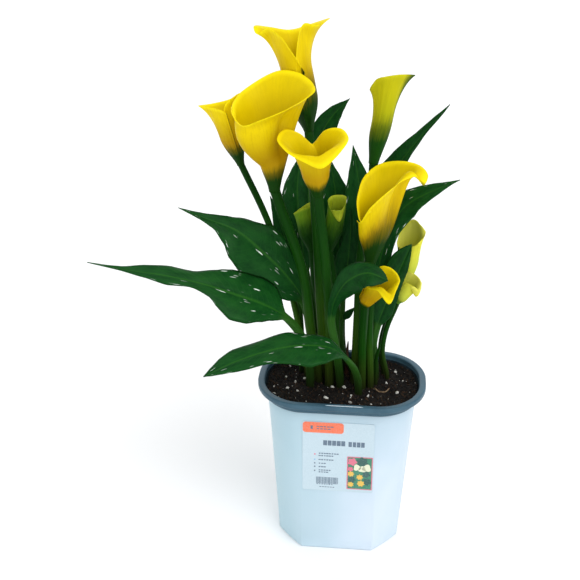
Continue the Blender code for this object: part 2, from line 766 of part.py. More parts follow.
def blade_section(half, lift, thick, rib):
    """Eight points round a folded blade: edge, upper side, edge, underside with its midrib."""
    keel = max(rib, thick)
    return [
        (half, half * lift),
        (half / 2, half / 2 * lift + thick / 2),
        (0, thick / 2),
        (-half / 2, half / 2 * lift + thick / 2),
        (-half, half * lift),
        (-half / 2, half / 2 * lift - thick / 2),
        (0, -keel),
        (half / 2, half / 2 * lift - thick / 2),
    ]


def make_spike(name, spike, soil):
    path = curve_through([grown(p) for p in stalk_points(spike["foot"], spike["points"])], 3)
    share = spread(1, 0.15, len(path))
    radii = [spike["radius"] * GROWTH * math.sqrt(part) for part in share]
    rings = [round_ring(*station) for station in zip(path, tangents(path), radii)]
    loft(name, rings, "shoot" if name == "shoot" else "leaf")
    cut_socket(soil, name, path, rings)


def main():
    clear_scene()
    make_outer_pot()
    make_inner_pot()
    make_label()
    soil = make_soil()
    make_tubers(soil)
    for name, flower in FLOWERS.items():
        make_flower(name, flower, soil)
    for name, leaf in LEAVES.items():
        make_leaf(name, leaf, soil)
    for name, spike in SPIKES.items():
        make_spike(name, spike, soil)


main()
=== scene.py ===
"""A potted calla lily in yellow flower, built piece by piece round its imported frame.

Metres, +Z up, the pot's foot on z = 0 and its label facing -Y. The plant's own tables are in
millimetres, and its heights are above the soil.
"""

import math

import bmesh
import bpy
from mathutils import Matrix, Vector, noise


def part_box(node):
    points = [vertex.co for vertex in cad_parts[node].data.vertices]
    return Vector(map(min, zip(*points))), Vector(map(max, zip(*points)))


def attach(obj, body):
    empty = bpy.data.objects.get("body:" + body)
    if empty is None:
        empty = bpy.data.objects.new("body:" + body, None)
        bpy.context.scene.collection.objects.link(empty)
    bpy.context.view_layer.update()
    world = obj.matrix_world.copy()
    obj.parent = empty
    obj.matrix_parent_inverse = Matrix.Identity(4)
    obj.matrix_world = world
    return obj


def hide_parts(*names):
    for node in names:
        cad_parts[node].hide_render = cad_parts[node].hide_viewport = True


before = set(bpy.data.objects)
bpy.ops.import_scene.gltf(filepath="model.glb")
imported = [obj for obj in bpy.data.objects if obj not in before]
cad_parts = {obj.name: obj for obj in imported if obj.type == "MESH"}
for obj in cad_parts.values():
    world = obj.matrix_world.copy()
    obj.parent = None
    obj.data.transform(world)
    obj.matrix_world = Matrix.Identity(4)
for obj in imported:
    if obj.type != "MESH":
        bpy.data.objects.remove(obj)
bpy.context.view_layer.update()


# Studio: a pale seamless floor, a pale sky that is brightest at the horizon, and three soft
# lamps. The camera stands in front of the pot, a little to its right, and looks down on it.

FLOOR_SIZE = 40.0
FLOOR_COLOUR = (0.985, 0.985, 0.985)
FLOOR_CLOUDS = (0.975, 0.975, 0.98)
SKY_COLOUR = (0.97, 0.985, 1.0)
SKY_STRENGTH = 0.70
HORIZON_STRENGTH = 1.05
GLOW_FROM, GLOW_TO = 0.12, 0.30
CAMERA_PLACE = (0.037, -0.870, 0.672)
CAMERA_TURN = (65.45, 0.0, 5.85)
CAMERA_LENS = 62.0
CAMERA_FILM = 36.0
LAMP_AIM = (0, 0, 0.22)
LAMPS = {
    "key": ((1.1, -1.2, 1.9), 50.0, 1.45),
    "fill": ((-1.6, -0.7, 1.3), 60.0, 0.25),
    "back": ((-0.4, 1.5, 1.6), 50.0, 0.55),
}


def add(tree, kind, inputs=(), **settings):
    """A node with its settings made and its inputs given a value or wired."""
    made = tree.nodes.new(kind)
    for key, value in settings.items():
        setattr(made, key, value)
    for key, value in dict(inputs).items():
        socket = made.inputs[key]
        if isinstance(value, bpy.types.NodeSocket):
            tree.links.new(value, socket)
        else:
            socket.default_value = value
    return made


def surface(name, roughness, specular=0.5):
    """A new material with its tree, its shader and Object coordinates."""
    made = bpy.data.materials.new(name)
    made.use_nodes = True
    tree = made.node_tree
    shader = tree.nodes["Principled BSDF"]
    shader.inputs["Roughness"].default_value = roughness
    shader.inputs["Specular IOR Level"].default_value = specular
    where = add(tree, "ShaderNodeTexCoord").outputs["Object"]
    return made, tree, shader, where


def grain(tree, where, scale, detail=3.0, roughness=0.55, stretch=(1, 1, 1)):
    """Noise, from 0 to 1, on a stretched copy of the coordinates."""
    placed = add(tree, "ShaderNodeMapping", {"Vector": where, "Scale": stretch})
    inputs = {"Vector": placed.outputs[0], "Scale": scale, "Detail": detail, "Roughness": roughness}
    return add(tree, "ShaderNodeTexNoise", inputs).outputs["Fac"]


def ramp(tree, value, stops):
    """Colours along a value: pairs of place and colour, or place and grey."""
    made = add(tree, "ShaderNodeValToRGB", {"Fac": value})
    elements = made.color_ramp.elements
    while len(elements) < len(stops):
        elements.new(0.5)
    for element, (place, colour) in zip(elements, stops):
        element.position = place
        element.color = (*colour, 1) if isinstance(colour, tuple) else (colour, colour, colour, 1)
    return made.outputs["Color"]


def mixed(tree, share, first, second, blend="MIX"):
    """Two colours mixed, each a colour or a wire."""
    first, second = ((*value, 1) if isinstance(value, tuple) else value for value in (first, second))
    return add(
        tree, "ShaderNodeMix", {0: share, 6: first, 7: second}, data_type="RGBA", blend_type=blend
    ).outputs[2]


def sums(tree, operation, *values):
    """The result of a sum on one to three numbers or wires."""
    return add(tree, "ShaderNodeMath", dict(enumerate(values)), operation=operation).outputs[0]


def axes(tree, vector):
    """The three numbers of a vector."""
    return add(tree, "ShaderNodeSeparateXYZ", {0: vector}).outputs


def coloured(tree, shader, tint):
    """Wires a colour to the shader."""
    tree.links.new(tint, shader.inputs["Base Color"])


def dented(tree, shader, height, strength, distance):
    """Fine relief in the finish, too small to be in the mesh."""
    inputs = {"Height": height, "Strength": strength, "Distance": distance}
    tree.links.new(add(tree, "ShaderNodeBump", inputs).outputs[0], shader.inputs["Normal"])


def made_object(name, mesh, *materials):
    """An object at the origin, with its finishes in order."""
    for material in materials:
        mesh.materials.append(material)
    obj = bpy.data.objects.new(name, mesh)
    bpy.context.scene.collection.objects.link(obj)
    return obj


floor_mesh = bpy.data.meshes.new("floor")
reach = FLOOR_SIZE / 2
floor_mesh.from_pydata(
    [(-reach, -reach, 0), (reach, -reach, 0), (reach, reach, 0), (-reach, reach, 0)], [], [(0, 1, 2, 3)]
)
floor_finish, tree, shader, where = surface("studio_floor", 0.9, 0.1)
coloured(tree, shader, mixed(tree, grain(tree, where, 1.5), FLOOR_COLOUR, FLOOR_CLOUDS))
floor = made_object("floor", floor_mesh, floor_finish)

sky = bpy.data.worlds.new("sky")
sky.use_nodes = True
background = sky.node_tree.nodes["Background"]
background.inputs["Color"].default_value = (*SKY_COLOUR, 1)
tree = sky.node_tree
up = axes(tree, add(tree, "ShaderNodeTexCoord").outputs["Generated"])[2]
glow = ramp(tree, up, [(0.0, 1.0), (GLOW_FROM, 1.0), (GLOW_TO, SKY_STRENGTH / HORIZON_STRENGTH)])
tree.links.new(sums(tree, "MULTIPLY", glow, HORIZON_STRENGTH), background.inputs["Strength"])
bpy.context.scene.world = sky
bpy.context.scene.view_settings.view_transform = "Standard"

for lamp_name, (place, spread, strength) in LAMPS.items():
    lamp = bpy.data.lights.new(lamp_name, "SUN")
    lamp.angle = math.radians(spread)
    lamp.energy = strength
    holder = bpy.data.objects.new(lamp_name, lamp)
    holder.location = place
    holder.rotation_euler = (Vector(LAMP_AIM) - Vector(place)).to_track_quat("-Z", "Y").to_euler()
    bpy.context.scene.collection.objects.link(holder)

camera = bpy.data.cameras.new("camera")
camera.lens = CAMERA_LENS
camera.sensor_width = CAMERA_FILM
stand = bpy.data.objects.new("camera", camera)
stand.location = CAMERA_PLACE
stand.rotation_euler = [math.radians(turn) for turn in CAMERA_TURN]
bpy.context.scene.collection.objects.link(stand)
bpy.context.scene.camera = stand


# Outer pot: a thin white tub of moulded polypropylene, nearly oblong at the rim and with cut
# corners at the foot. It stands on the floor and everything else stands in it.

POT_FOOT = (0.123, 0.083)
FRONT_FLAT = 0.072
END_FLAT = (0.023, 0.012)
FOOT_ROUNDNESS = 0.12
POT_WALL = 0.0016
POT_LOW, POT_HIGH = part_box("outer_pot")
POT_TOP = POT_HIGH.z
POT_MOUTH = (POT_HIGH.x - POT_LOW.x, POT_HIGH.y - POT_LOW.y)
CORNER_STEPS = 18
WALL_STEPS = 12


def outline(z, offset):
    """The pot's outline at a height, moved outwards: cut corners at the foot, round ones above."""
    share = min(z / POT_TOP, 1)
    half_x, half_y = (
        (foot * (1 - share) + mouth * share) / 2 + offset for foot, mouth in zip(POT_FOOT, POT_MOUTH)
    )
    flat_x = FRONT_FLAT / 2
    flat_y = (END_FLAT[0] * (1 - share) + END_FLAT[1] * share) / 2
    roundness = FOOT_ROUNDNESS * (1 - share) + share
    ring = []
    for quarter, (side_x, side_y) in enumerate(((1, 1), (-1, 1), (-1, -1), (1, -1))):
        for step in range(CORNER_STEPS + 1):
            along = step / CORNER_STEPS
            if quarter % 2:
                along = 1 - along
            across_x = roundness * math.cos(along * math.pi / 2) + (1 - roundness) * (1 - along)
            across_y = roundness * math.sin(along * math.pi / 2) + (1 - roundness) * along
            x = side_x * (flat_x + (half_x - flat_x) * across_x)
            y = side_y * (flat_y + (half_y - flat_y) * across_y)
            ring.append(Vector((x, y, z)))
    return ring


def shape_from(name, bm, *materials, crease=40):
    """An object from a closed bmesh: outward faces, smooth, sharp where it folds."""
    bmesh.ops.recalc_face_normals(bm, faces=bm.faces)
    mesh = bpy.data.meshes.new(name)
    bm.to_mesh(mesh)
    bm.free()
    mesh.shade_smooth()
    mesh.set_sharp_from_angle(angle=math.radians(crease))
    return made_object(name, mesh, *materials)


def lofted(name, rings, *materials, crease=40):
    """A closed skin through rings of points, with a flat cap at each end."""
    bm = bmesh.new()
    rows = [[bm.verts.new(point) for point in ring] for ring in rings]
    for low, high in zip(rows, rows[1:]):
        for i in range(len(low)):
            j = (i + 1) % len(low)
            bm.faces.new((low[i], low[j], high[j], high[i]))
    bm.faces.new(rows[0])
    bm.faces.new(rows[-1])
    return shape_from(name, bm, *materials, crease=crease)


def fitted(piece, slot, *nodes):
    """The piece belongs to the plant's one body, and stands for these nodes."""
    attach(piece, "root")
    if nodes:
        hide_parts(*nodes)
    return piece


white_plastic, tree, shader, where = surface("white_plastic", 0.34)
cloud = grain(tree, where, 9.0, 3.0, 0.6, (1, 1, 0.6))
tint = ramp(tree, cloud, [(0.30, (0.50, 0.64, 0.73)), (0.70, (0.65, 0.74, 0.85))])
sides = axes(tree, where)
# Painted shade: the tub turns darker and more cyan towards its left side, and towards its top, under the rim.
painted_shade_left = ramp(tree, sums(tree, "MULTIPLY_ADD", sides[0], -6.0, 0.30), [(0.10, 0.0), (0.80, 0.75)])
tint = mixed(tree, painted_shade_left, tint, (0.34, 0.56, 0.62))
painted_shade_under_rim = ramp(tree, sides[2], [(0.10, 0.0), (0.175, 0.45)])
tint = mixed(tree, painted_shade_under_rim, tint, (0.36, 0.52, 0.60))
drag = grain(tree, where, 60.0, 2.0, 0.5, (1, 1, 0.06))
coloured(tree, shader, mixed(tree, 0.05, tint, drag, "OVERLAY"))
scuffs = grain(tree, where, 420.0, 3.0)
tree.links.new(ramp(tree, scuffs, [(0.35, 0.30), (0.75, 0.44)]), shader.inputs["Roughness"])
dented(tree, shader, scuffs, 0.05, 0.0004)

heel = [(-0.0020, 0), (-0.0008, 0.0003), (-0.0002, 0.0008), (0, 0.0016)]
lip = [
    (0, POT_TOP - 0.0006), (-0.0004, POT_TOP), (-POT_WALL + 0.0004, POT_TOP), (-POT_WALL, POT_TOP - 0.0006),
]
climb = [(0, POT_TOP * step / WALL_STEPS) for step in range(1, WALL_STEPS)]
drop = [(-POT_WALL, z) for _, z in reversed(climb)]
profile = [*heel, *climb, *lip, *drop, (-POT_WALL, 0.0036), (-POT_WALL - 0.0016, 0.0020)]
outer_pot = lofted("white_tub", [outline(z, offset) for offset, z in profile], white_plastic)
fitted(outer_pot, "outer_pot", "outer_pot")


# Label: a printed paper sticker on the front of the tub, with an orange tab, a heading, rows of
# small print, bars and a little picture. The print stands for lettering and says nothing.

LABEL_LOW, LABEL_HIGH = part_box("label")
LABEL_WIDTH = LABEL_HIGH.x - LABEL_LOW.x
LABEL_HEIGHT = LABEL_HIGH.z - LABEL_LOW.z
LABEL_LIFT = 0.0002
LABEL_THICK = 0.0004
PRINT_LIFT = 0.0006 + 0.00006
PRINT_THICK = 0.00005
PAPER = (0.55, 0.66, 0.73)


def front_y(z):
    """Where the tub's front face lies at a height."""
    return min(point.y for point in outline(z, 0))


def on_label(x, z, lift):
    """A point of the label, from its lower left corner, lifted off the tub's front."""
    height = LABEL_LOW.z + z
    return Vector((LABEL_LOW.x + x, front_y(height) - lift, height))


def rounded(x0, z0, x1, z1, radius, steps=6):
    """A round-cornered oblong, anticlockwise."""
    points = []
    corners = ((x1, z1, 0), (x0, z1, 1), (x0, z0, 2), (x1, z0, 3))
    for x, z, quarter in corners:
        inwards_x, inwards_z = (-1 if x == x1 else 1), (-1 if z == z1 else 1)
        centre = (x + inwards_x * radius, z + inwards_z * radius)
        for step in range(steps + 1):
            turn = math.pi / 2 * (quarter + step / steps)
            points.append((centre[0] + radius * math.cos(turn), centre[1] + radius * math.sin(turn)))
    return points


def stuck(name, shapes, lift, thick, *materials):
    """Flat shapes on the label, each a list of points and the number of its ink."""
    bm = bmesh.new()
    for points, ink in shapes:
        back = [bm.verts.new(on_label(x, z, lift)) for x, z in points]
        face = [bm.verts.new(on_label(x, z, lift + thick)) for x, z in points]
        sides = [bm.faces.new(face), bm.faces.new(back[::-1])]
        for i in range(len(points)):
            j = (i + 1) % len(points)
            sides.append(bm.faces.new((back[i], back[j], face[j], face[i])))
        for side in sides:
            side.material_index = ink
    return shape_from(name, bm, *materials, crease=30)


def speckled(name, roughness, specular, pattern, stops, dents=None):
    """A finish coloured by one grain, and dented by it where dents says how much."""
    made, tree, shader, where = surface(name, roughness, specular)
    speckles = grain(tree, where, *pattern)
    coloured(tree, shader, ramp(tree, speckles, stops))
    if dents:
        dented(tree, shader, speckles, *dents)
    return made


def ink(name, colour):
    """Printing ink, worn here and there to the paper."""
    made, tree, shader, where = surface(name, 0.45, 0.35)
    worn = ramp(tree, grain(tree, where, 900.0, 2.0), [(0.30, 0.0), (0.75, 0.16)])
    coloured(tree, shader, mixed(tree, worn, colour, PAPER))
    return made


label_paper = speckled(
    "label_paper", 0.38, 0.4, (700.0, 4.0),
    [(0.3, (0.50, 0.63, 0.70)), (0.7, (0.56, 0.68, 0.75))], (0.08, 0.0002),
)
INKS = {
    "orange": (0.88, 0.17, 0.065),
    "slate": (0.105, 0.155, 0.22),
    "grey": (0.13, 0.18, 0.25),
    "sky_blue": (0.25, 0.50, 0.72),
    "pink": (0.72, 0.16, 0.24),
    "garden_green": (0.03, 0.22, 0.12),
    "deep_green": (0.015, 0.09, 0.07),
    "cream": (0.78, 0.80, 0.58),
    "gold": (0.80, 0.50, 0.06),
}
TAB = (0.0003, LABEL_HEIGHT - 0.0125, 0.0400, LABEL_HEIGHT - 0.0003)
inks = {name: ink(f"{name}_ink", colour) for name, colour in INKS.items()}
order = list(inks)

sheet_shape = rounded(0, 0, LABEL_WIDTH, LABEL_HEIGHT, 0.0022)
label = stuck("paper_label", [(sheet_shape, 0)], LABEL_LIFT, LABEL_THICK, label_paper)
fitted(label, "label", "label")


def printed(name, shapes, level):
    """Flat print on the label, so many layers of ink above its first."""
    piece = stuck(name, shapes, PRINT_LIFT + level * PRINT_THICK, PRINT_THICK, *inks.values())
    return fitted(piece, "label")


printed("orange_tab", [(rounded(*TAB, 0.0030), order.index("orange"))], 0)


# Print on the label: rows of short bars where the words would be and upright bars of a code, all
# laid out by one node tree, and a picture of round garden blooms, cut shape by shape.

def group(name, inputs):
    """An empty node tree with named inputs, its two ends, and its inputs' identifiers."""
    tree = bpy.data.node_groups.new(name, "GeometryNodeTree")
    tree.interface.new_socket("Geometry", in_out="INPUT", socket_type="NodeSocketGeometry")
    tree.interface.new_socket("Geometry", in_out="OUTPUT", socket_type="NodeSocketGeometry")
    keys = {}
    for title, kind in inputs.items():
        socket = tree.interface.new_socket(title, in_out="INPUT", socket_type=f"NodeSocket{kind}")
        keys[title] = socket.identifier
    return tree, add(tree, "NodeGroupInput").outputs, add(tree, "NodeGroupOutput"), keys


def grown_by(tree, keys, obj, values):
    """The object's mesh as the node tree makes it, settled into a plain mesh."""
    modifier = obj.modifiers.new(tree.name, "NODES")
    modifier.node_group = tree
    for title, value in values.items():
        modifier[keys[title]] = value
    bpy.context.view_layer.update()
    graph = bpy.context.evaluated_depsgraph_get()
    settled = bpy.data.meshes.new_from_object(
        obj.evaluated_get(graph), preserve_all_data_layers=True, depsgraph=graph
    )
    obj.modifiers.clear()
    obj.data = settled
    return obj


def finished(tree, last, material, output):
    """Ends a tree: instances made real and the finish put on."""
    real = add(tree, "GeometryNodeRealizeInstances", {"Geometry": last})
    painted = add(tree, "GeometryNodeSetMaterial", {"Geometry": real.outputs[0], "Material": material})
    tree.links.new(painted.outputs[0], output.inputs[0])


bars_tree, into, output, bars_keys = group("printed_bars", {
    "Count": "Int", "Step": "Vector", "Smallest": "Vector", "Largest": "Vector", "Seed": "Int",
    "Ink": "Material",
})
line = add(bars_tree, "GeometryNodeMeshLine", {"Count": into["Count"], "Offset": into["Step"]})
size = add(
    bars_tree, "FunctionNodeRandomValue",
    {0: into["Smallest"], 1: into["Largest"], "Seed": into["Seed"]}, data_type="FLOAT_VECTOR",
)
cube = add(bars_tree, "GeometryNodeMeshCube", {"Size": (1, 1, 1)})
bars = add(bars_tree, "GeometryNodeInstanceOnPoints", {
    "Points": line.outputs[0], "Instance": cube.outputs[0], "Scale": size.outputs[0],
})
finished(bars_tree, bars.outputs[0], into["Ink"], output)


def printed_row(name, x, z, count, step, smallest, largest, seed, colour, lift=PRINT_LIFT):
    """A row of bars starting at a point of the label, laid on its slope."""
    row = made_object(name, bpy.data.meshes.new(name))
    grown_by(bars_tree, bars_keys, row, {
        "Count": count, "Step": (step, 0, 0), "Smallest": (smallest[0], PRINT_THICK, smallest[1]),
        "Largest": (largest[0], PRINT_THICK, largest[1]), "Seed": seed, "Ink": inks[colour],
    })
    foot = on_label(x, z, lift)
    head = on_label(x, z + 0.01, lift)
    lean = Vector((0, 0, 1)).rotation_difference(head - foot).to_matrix().to_4x4()
    row.data.transform(Matrix.Translation(foot) @ lean)
    return row


ON_TAB = PRINT_LIFT + 3 * PRINT_THICK
# Each row: its place, number of bars, step, smallest and largest bar, seed, ink, and lift on the tab.
PRINTED_ROWS = {
    "heading": (0.0222, 0.0580, 5, 0.00440, (0.0036, 0.0058), (0.0039, 0.0059), 3, "slate"),
    "heading_end": (0.0466, 0.0576, 4, 0.00410, (0.0030, 0.0058), (0.0035, 0.0059), 7, "slate"),
    "tab_lines": (
        0.0150, LABEL_HEIGHT - 0.0052, 5, 0.0034, (0.0020, 0.0010), (0.0032, 0.0012), 5, "slate", ON_TAB),
    "tab_lines_low": (
        0.0150, LABEL_HEIGHT - 0.0078, 4, 0.0036, (0.0022, 0.0009), (0.0034, 0.0011), 8, "slate", ON_TAB),
    "tab_mark": (
        0.0090, LABEL_HEIGHT - 0.0064, 1, 0.001, (0.0022, 0.0040), (0.0022, 0.0040), 1, "slate", ON_TAB),
    "code_bars": (0.0140, 0.0125, 25, 0.00088, (0.00028, 0.0080), (0.00066, 0.0082), 11, "slate"),
    "code_line": (0.0150, 0.0078, 7, 0.0024, (0.0012, 0.0007), (0.0020, 0.0008), 4, "grey"),
    "foot_line": (0.0180, 0.0045, 6, 0.0026, (0.0016, 0.0008), (0.0022, 0.0009), 9, "grey"),
}
SMALL_LINES = ((0.0452, 8), (0.0424, 6), (0.0376, 6), (0.0332, 3), (0.0290, 3), (0.0250, 5), (0.0226, 4))
SMALL_MARKS = ((0.0440, "pink"), (0.0376, "sky_blue"), (0.0332, "grey"), (0.0290, "grey"), (0.0240, "slate"))
for index, (height, count) in enumerate(SMALL_LINES):
    PRINTED_ROWS[f"small_line_{index}"] = (
        0.0170, height, count, 0.0025, (0.0014, 0.0011), (0.0024, 0.0014), 20 + index, "grey")
for index, (height, colour) in enumerate(SMALL_MARKS):
    PRINTED_ROWS[f"small_mark_{index}"] = (
        0.0122, height, 1, 0.001, (0.0014, 0.0016), (0.0014, 0.0016), index, colour)
for name, row in PRINTED_ROWS.items():
    fitted(printed_row(name, *row), "label")


def bloom(x, z, radius, lobes, ink_name, turn=0.0):
    """A round bloom with a lobed edge."""
    points = []
    for step in range(6 * lobes):
        angle = 2 * math.pi * step / (6 * lobes)
        reach = radius * (1 + 0.16 * math.cos(lobes * angle + turn))
        points.append((x + reach * math.cos(angle), z + reach * math.sin(angle)))
    return points, order.index(ink_name)


PICTURE = (0.0440, 0.0035, 0.0692, 0.0432)
BORDER = 0.0010
left, low, right, high = PICTURE
frame_shape = (rounded(left, low, right, high, 0.0008), order.index("pink"))
ground = rounded(left + BORDER, low + BORDER, right - BORDER, high - BORDER, 0.0005)
shade = [
    bloom(left + 0.0052, high - 0.0060, 0.0042, 5, "pink", 0.6),
    bloom(left + 0.0035, high - 0.0150, 0.0026, 5, "pink", 1.6),
    bloom(left + 0.0150, high - 0.0058, 0.0052, 6, "deep_green", 2.2),
    bloom(left + 0.0050, low + 0.0120, 0.0036, 6, "deep_green", 0.2),
    bloom(left + 0.0200, low + 0.0100, 0.0040, 5, "deep_green", 1.2),
    bloom(left + 0.0190, low + 0.0190, 0.0036, 5, "deep_green", 0.9),
]
petals = [
    bloom(left + 0.0100, low + 0.0270, 0.0036, 3, "cream", 0.4),
    bloom(left + 0.0150, low + 0.0252, 0.0036, 3, "cream", 1.9),
    bloom(left + 0.0195, low + 0.0268, 0.0042, 3, "cream", 2.4),
    bloom(left + 0.0040, low + 0.0190, 0.0030, 7, "gold"),
    bloom(left + 0.0128, low + 0.0155, 0.0030, 7, "gold", 1.0),
    bloom(left + 0.0140, low + 0.0078, 0.0034, 7, "gold", 2.0),
    bloom(left + 0.0040, low + 0.0062, 0.0028, 7, "gold", 3.0),
]
printed("picture_frame", [frame_shape], 0)
printed("picture_ground", [(ground, order.index("garden_green"))], 2)
printed("picture_blooms", petals, 6)
printed("picture_shade", shade, 4)


# Grow pot: the slate-coloured pot of the nursery, blow-moulded, dropped into the tub until its
# flared and rolled rim hooks over the edge. Two small lugs hang under the rim at the ends.

RIM_LOW, RIM_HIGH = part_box("inner_pot")
RIM_TOP = RIM_HIGH.z
RIM_OUT = 0.0095
BEAD_WIDTH = 0.0065
BEAD_HEIGHT = 0.0055
INNER_OUTSIDE = -(POT_WALL + 0.0004)
INNER_INSIDE = INNER_OUTSIDE - 0.0014
INNER_FLOOR = RIM_LOW.z
LUG = (0.0040, 0.0070, 0.0090)
LUG_INSET = 0.0006
LUG_ROOT = 0.0015
# Where the pale, painted-highlight strip on the rim starts and ends, and how thick it is.
HIGHLIGHT_STRIP = (-0.0150, 0.0250, 0.0007)

slate_plastic, tree, shader, where = surface("slate_plastic", 0.42, 0.22)
cloud = grain(tree, where, 38.0, 4.0, 0.6)
tint = ramp(tree, cloud, [(0.30, (0.036, 0.088, 0.128)), (0.72, (0.060, 0.132, 0.180))])
dust = ramp(tree, grain(tree, where, 520.0, 2.0), [(0.62, 0.0), (0.80, 0.35)])
coloured(tree, shader, mixed(tree, dust, tint, (0.16, 0.25, 0.31)))
tree.links.new(ramp(tree, cloud, [(0.3, 0.30), (0.7, 0.46)]), shader.inputs["Roughness"])
dented(tree, shader, grain(tree, where, 260.0, 3.0), 0.08, 0.0005)

# The inside of the wall, painted dark as the shade inside the pot.
painted_shade_plastic = speckled(
    "painted_shade_plastic", 0.6, 0.15, (120.0, 4.0), [(0.35, (0.006, 0.010, 0.013)), (0.70, (0.022, 0.040, 0.054))]
)

inside_edge = RIM_OUT - BEAD_WIDTH
bead_low = RIM_TOP - BEAD_HEIGHT
wall = POT_TOP - INNER_FLOOR
profile = [
    *[(INNER_INSIDE, INNER_FLOOR + 0.0016 + wall * step / WALL_STEPS) for step in range(WALL_STEPS)],
    (INNER_INSIDE + 0.0002, POT_TOP),
    (inside_edge - 0.0018, POT_TOP + 0.0035),
    (inside_edge - 0.0002, RIM_TOP - 0.0056),
]
INSIDE_RINGS = len(profile)
bead_centre = (RIM_OUT - BEAD_WIDTH / 2, RIM_TOP - BEAD_HEIGHT / 2)
for degrees in range(195, -78, -16):
    turn = math.radians(degrees)
    squeeze = 0.25 * math.sin(2 * turn) ** 2 + 1
    profile.append((
        bead_centre[0] + BEAD_WIDTH / 2 * min(squeeze * math.cos(turn), 1) * 0.998,
        bead_centre[1] + BEAD_HEIGHT / 2 * max(min(squeeze * math.sin(turn), 1), -1),
    ))
profile += [
    (inside_edge + 0.0012, bead_low - 0.0010),
    (inside_edge - 0.0002, POT_TOP + 0.0022),
    *[(INNER_OUTSIDE, POT_TOP + 0.0004 - wall * step / WALL_STEPS) for step in range(WALL_STEPS)],
    (INNER_OUTSIDE, INNER_FLOOR + 0.0010),
    (INNER_OUTSIDE - 0.0010, INNER_FLOOR),
]
grow_pot = lofted(
    "slate_pot", [outline(z, offset) for offset, z in profile], slate_plastic, painted_shade_plastic, crease=50
)
# The inside faces of the grow pot take the painted shade.
for face in grow_pot.data.polygons:
    if max(face.vertices) < INSIDE_RINGS * 4 * (CORNER_STEPS + 1):
        face.material_index = 1
fitted(grow_pot, "inner_pot", "inner_pot")

for side, side_name in ((-1, "left"), (1, "right")):
    centre = Vector((side * (RIM_HIGH.x - LUG[0] / 2 - LUG_INSET), 0, bead_low + LUG_ROOT - LUG[2] / 2))
    rings = []
    for share, narrow in ((0, 0.80), (0.12, 1.0), (1, 1.0)):
        z = centre.z + LUG[2] * (share - 0.5)
        corners = rounded(
            centre.x - LUG[0] / 2 * narrow, -LUG[1] / 2 * narrow, centre.x + LUG[0] / 2 * narrow,
            LUG[1] / 2 * narrow, 0.0011,
        )
        rings.append([Vector((x, y, z)) for x, y in corners])
    fitted(lofted(f"rim_lug_{side_name}", rings, slate_plastic), "inner_pot")

# A short thin strip runs along the top of the rim at the front, coloured pale as a painted highlight.
highlight_plastic = speckled(
    "highlight_plastic", 0.30, 0.5, (300.0,), [(0.3, (0.55, 0.70, 0.80)), (0.7, (0.80, 0.90, 0.96))]
)
front_rim = min(point.y for point in outline(RIM_TOP, bead_centre[0] + 0.0003))
rings = []
for step in range(25):
    share = step / 24
    x = HIGHLIGHT_STRIP[0] + (HIGHLIGHT_STRIP[1] - HIGHLIGHT_STRIP[0]) * share
    thick = HIGHLIGHT_STRIP[2] * min(1, 0.25 + 6 * share, 0.25 + 6 * (1 - share))
    turns = [2 * math.pi * k / 10 for k in range(10)]
    rings.append([
        Vector((x, front_rim - 0.0004 + thick * math.cos(a), RIM_TOP - 0.0002 + thick * 0.55 * math.sin(a)))
        for a in turns
    ])
fitted(lofted("rim_highlight_line", rings, highlight_plastic), "inner_pot")


# Soil: dark peat filled to just under the rim and banked up at the wall. Its top crumbles, with
# white perlite and chips of bark through it, strewn by one node tree.

SOIL_LOW, SOIL_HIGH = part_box("soil")
SOIL_TOP = SOIL_HIGH.z
SOIL_RINGS = 46
SOIL_DIP = 0.0012
SOIL_BANK = 0.0062
BANK_START = 0.80
BRIM_START = 0.94
SOIL_ROUGH = 0.0034 * 0.45
CLODS = 95
HOLLOWS = 38
SOIL_GAP = 0.0003

peat = speckled(
    "peat", 0.92, 0.25, (130.0, 6.0, 0.7),
    [(0.30, (0.0025, 0.0022, 0.0020)), (0.55, (0.008, 0.0065, 0.0055)), (0.80, (0.034, 0.024, 0.017))],
    (0.9, 0.003),
)


def soil_height(x, y, edge):
    """How high the soil lies: rough, and banked up at the wall, where edge is 1."""
    where = Vector((x, y, 0))
    rough = noise.fractal(where * CLODS, 1.0, 2.1, 4) + 0.6 * noise.noise(where * HOLLOWS)
    bank = SOIL_BANK * max(0.0, (edge - BANK_START) / (1 - BANK_START)) ** 1.6
    return SOIL_TOP - SOIL_DIP + bank + SOIL_ROUGH * rough


bm = bmesh.new()
brim = [Vector((p.x, p.y, 0)) for p in outline(POT_TOP, INNER_INSIDE - 0.0002)]
flare = [Vector((p.x, p.y, 0)) for p in outline(POT_TOP + 0.003, inside_edge - 0.0024)]
surface_rows = []
for ring in range(1, SOIL_RINGS + 1):
    share = ring / SOIL_RINGS
    row = []
    for inner, outer in zip(brim, flare):
        if share < BRIM_START:
            point = inner * (share / BRIM_START)
        else:
            point = inner.lerp(outer, (share - BRIM_START) / (1 - BRIM_START))
        row.append(bm.verts.new((point.x, point.y, soil_height(point.x, point.y, share))))
    surface_rows.append(row)
middle = bm.verts.new((0, 0, soil_height(0, 0, 0)))
count = len(brim)
for i in range(count):
    bm.faces.new((middle, surface_rows[0][i], surface_rows[0][(i + 1) % count]))
for low, high in zip(surface_rows, surface_rows[1:]):
    for i in range(count):
        j = (i + 1) % count
        bm.faces.new((low[i], high[i], high[j], low[j]))
below = surface_rows[-1]
for z in (SOIL_TOP - 0.003, SOIL_LOW.z):
    row = [bm.verts.new(point) for point in outline(z, INNER_INSIDE - SOIL_GAP)]
    for i in range(count):
        j = (i + 1) % count
        bm.faces.new((below[i], row[i], row[j], below[j]))
    below = row
bm.faces.new(below[::-1])
soil = shape_from("peat_fill", bm, peat, crease=80)
fitted(soil, "soil", "soil")

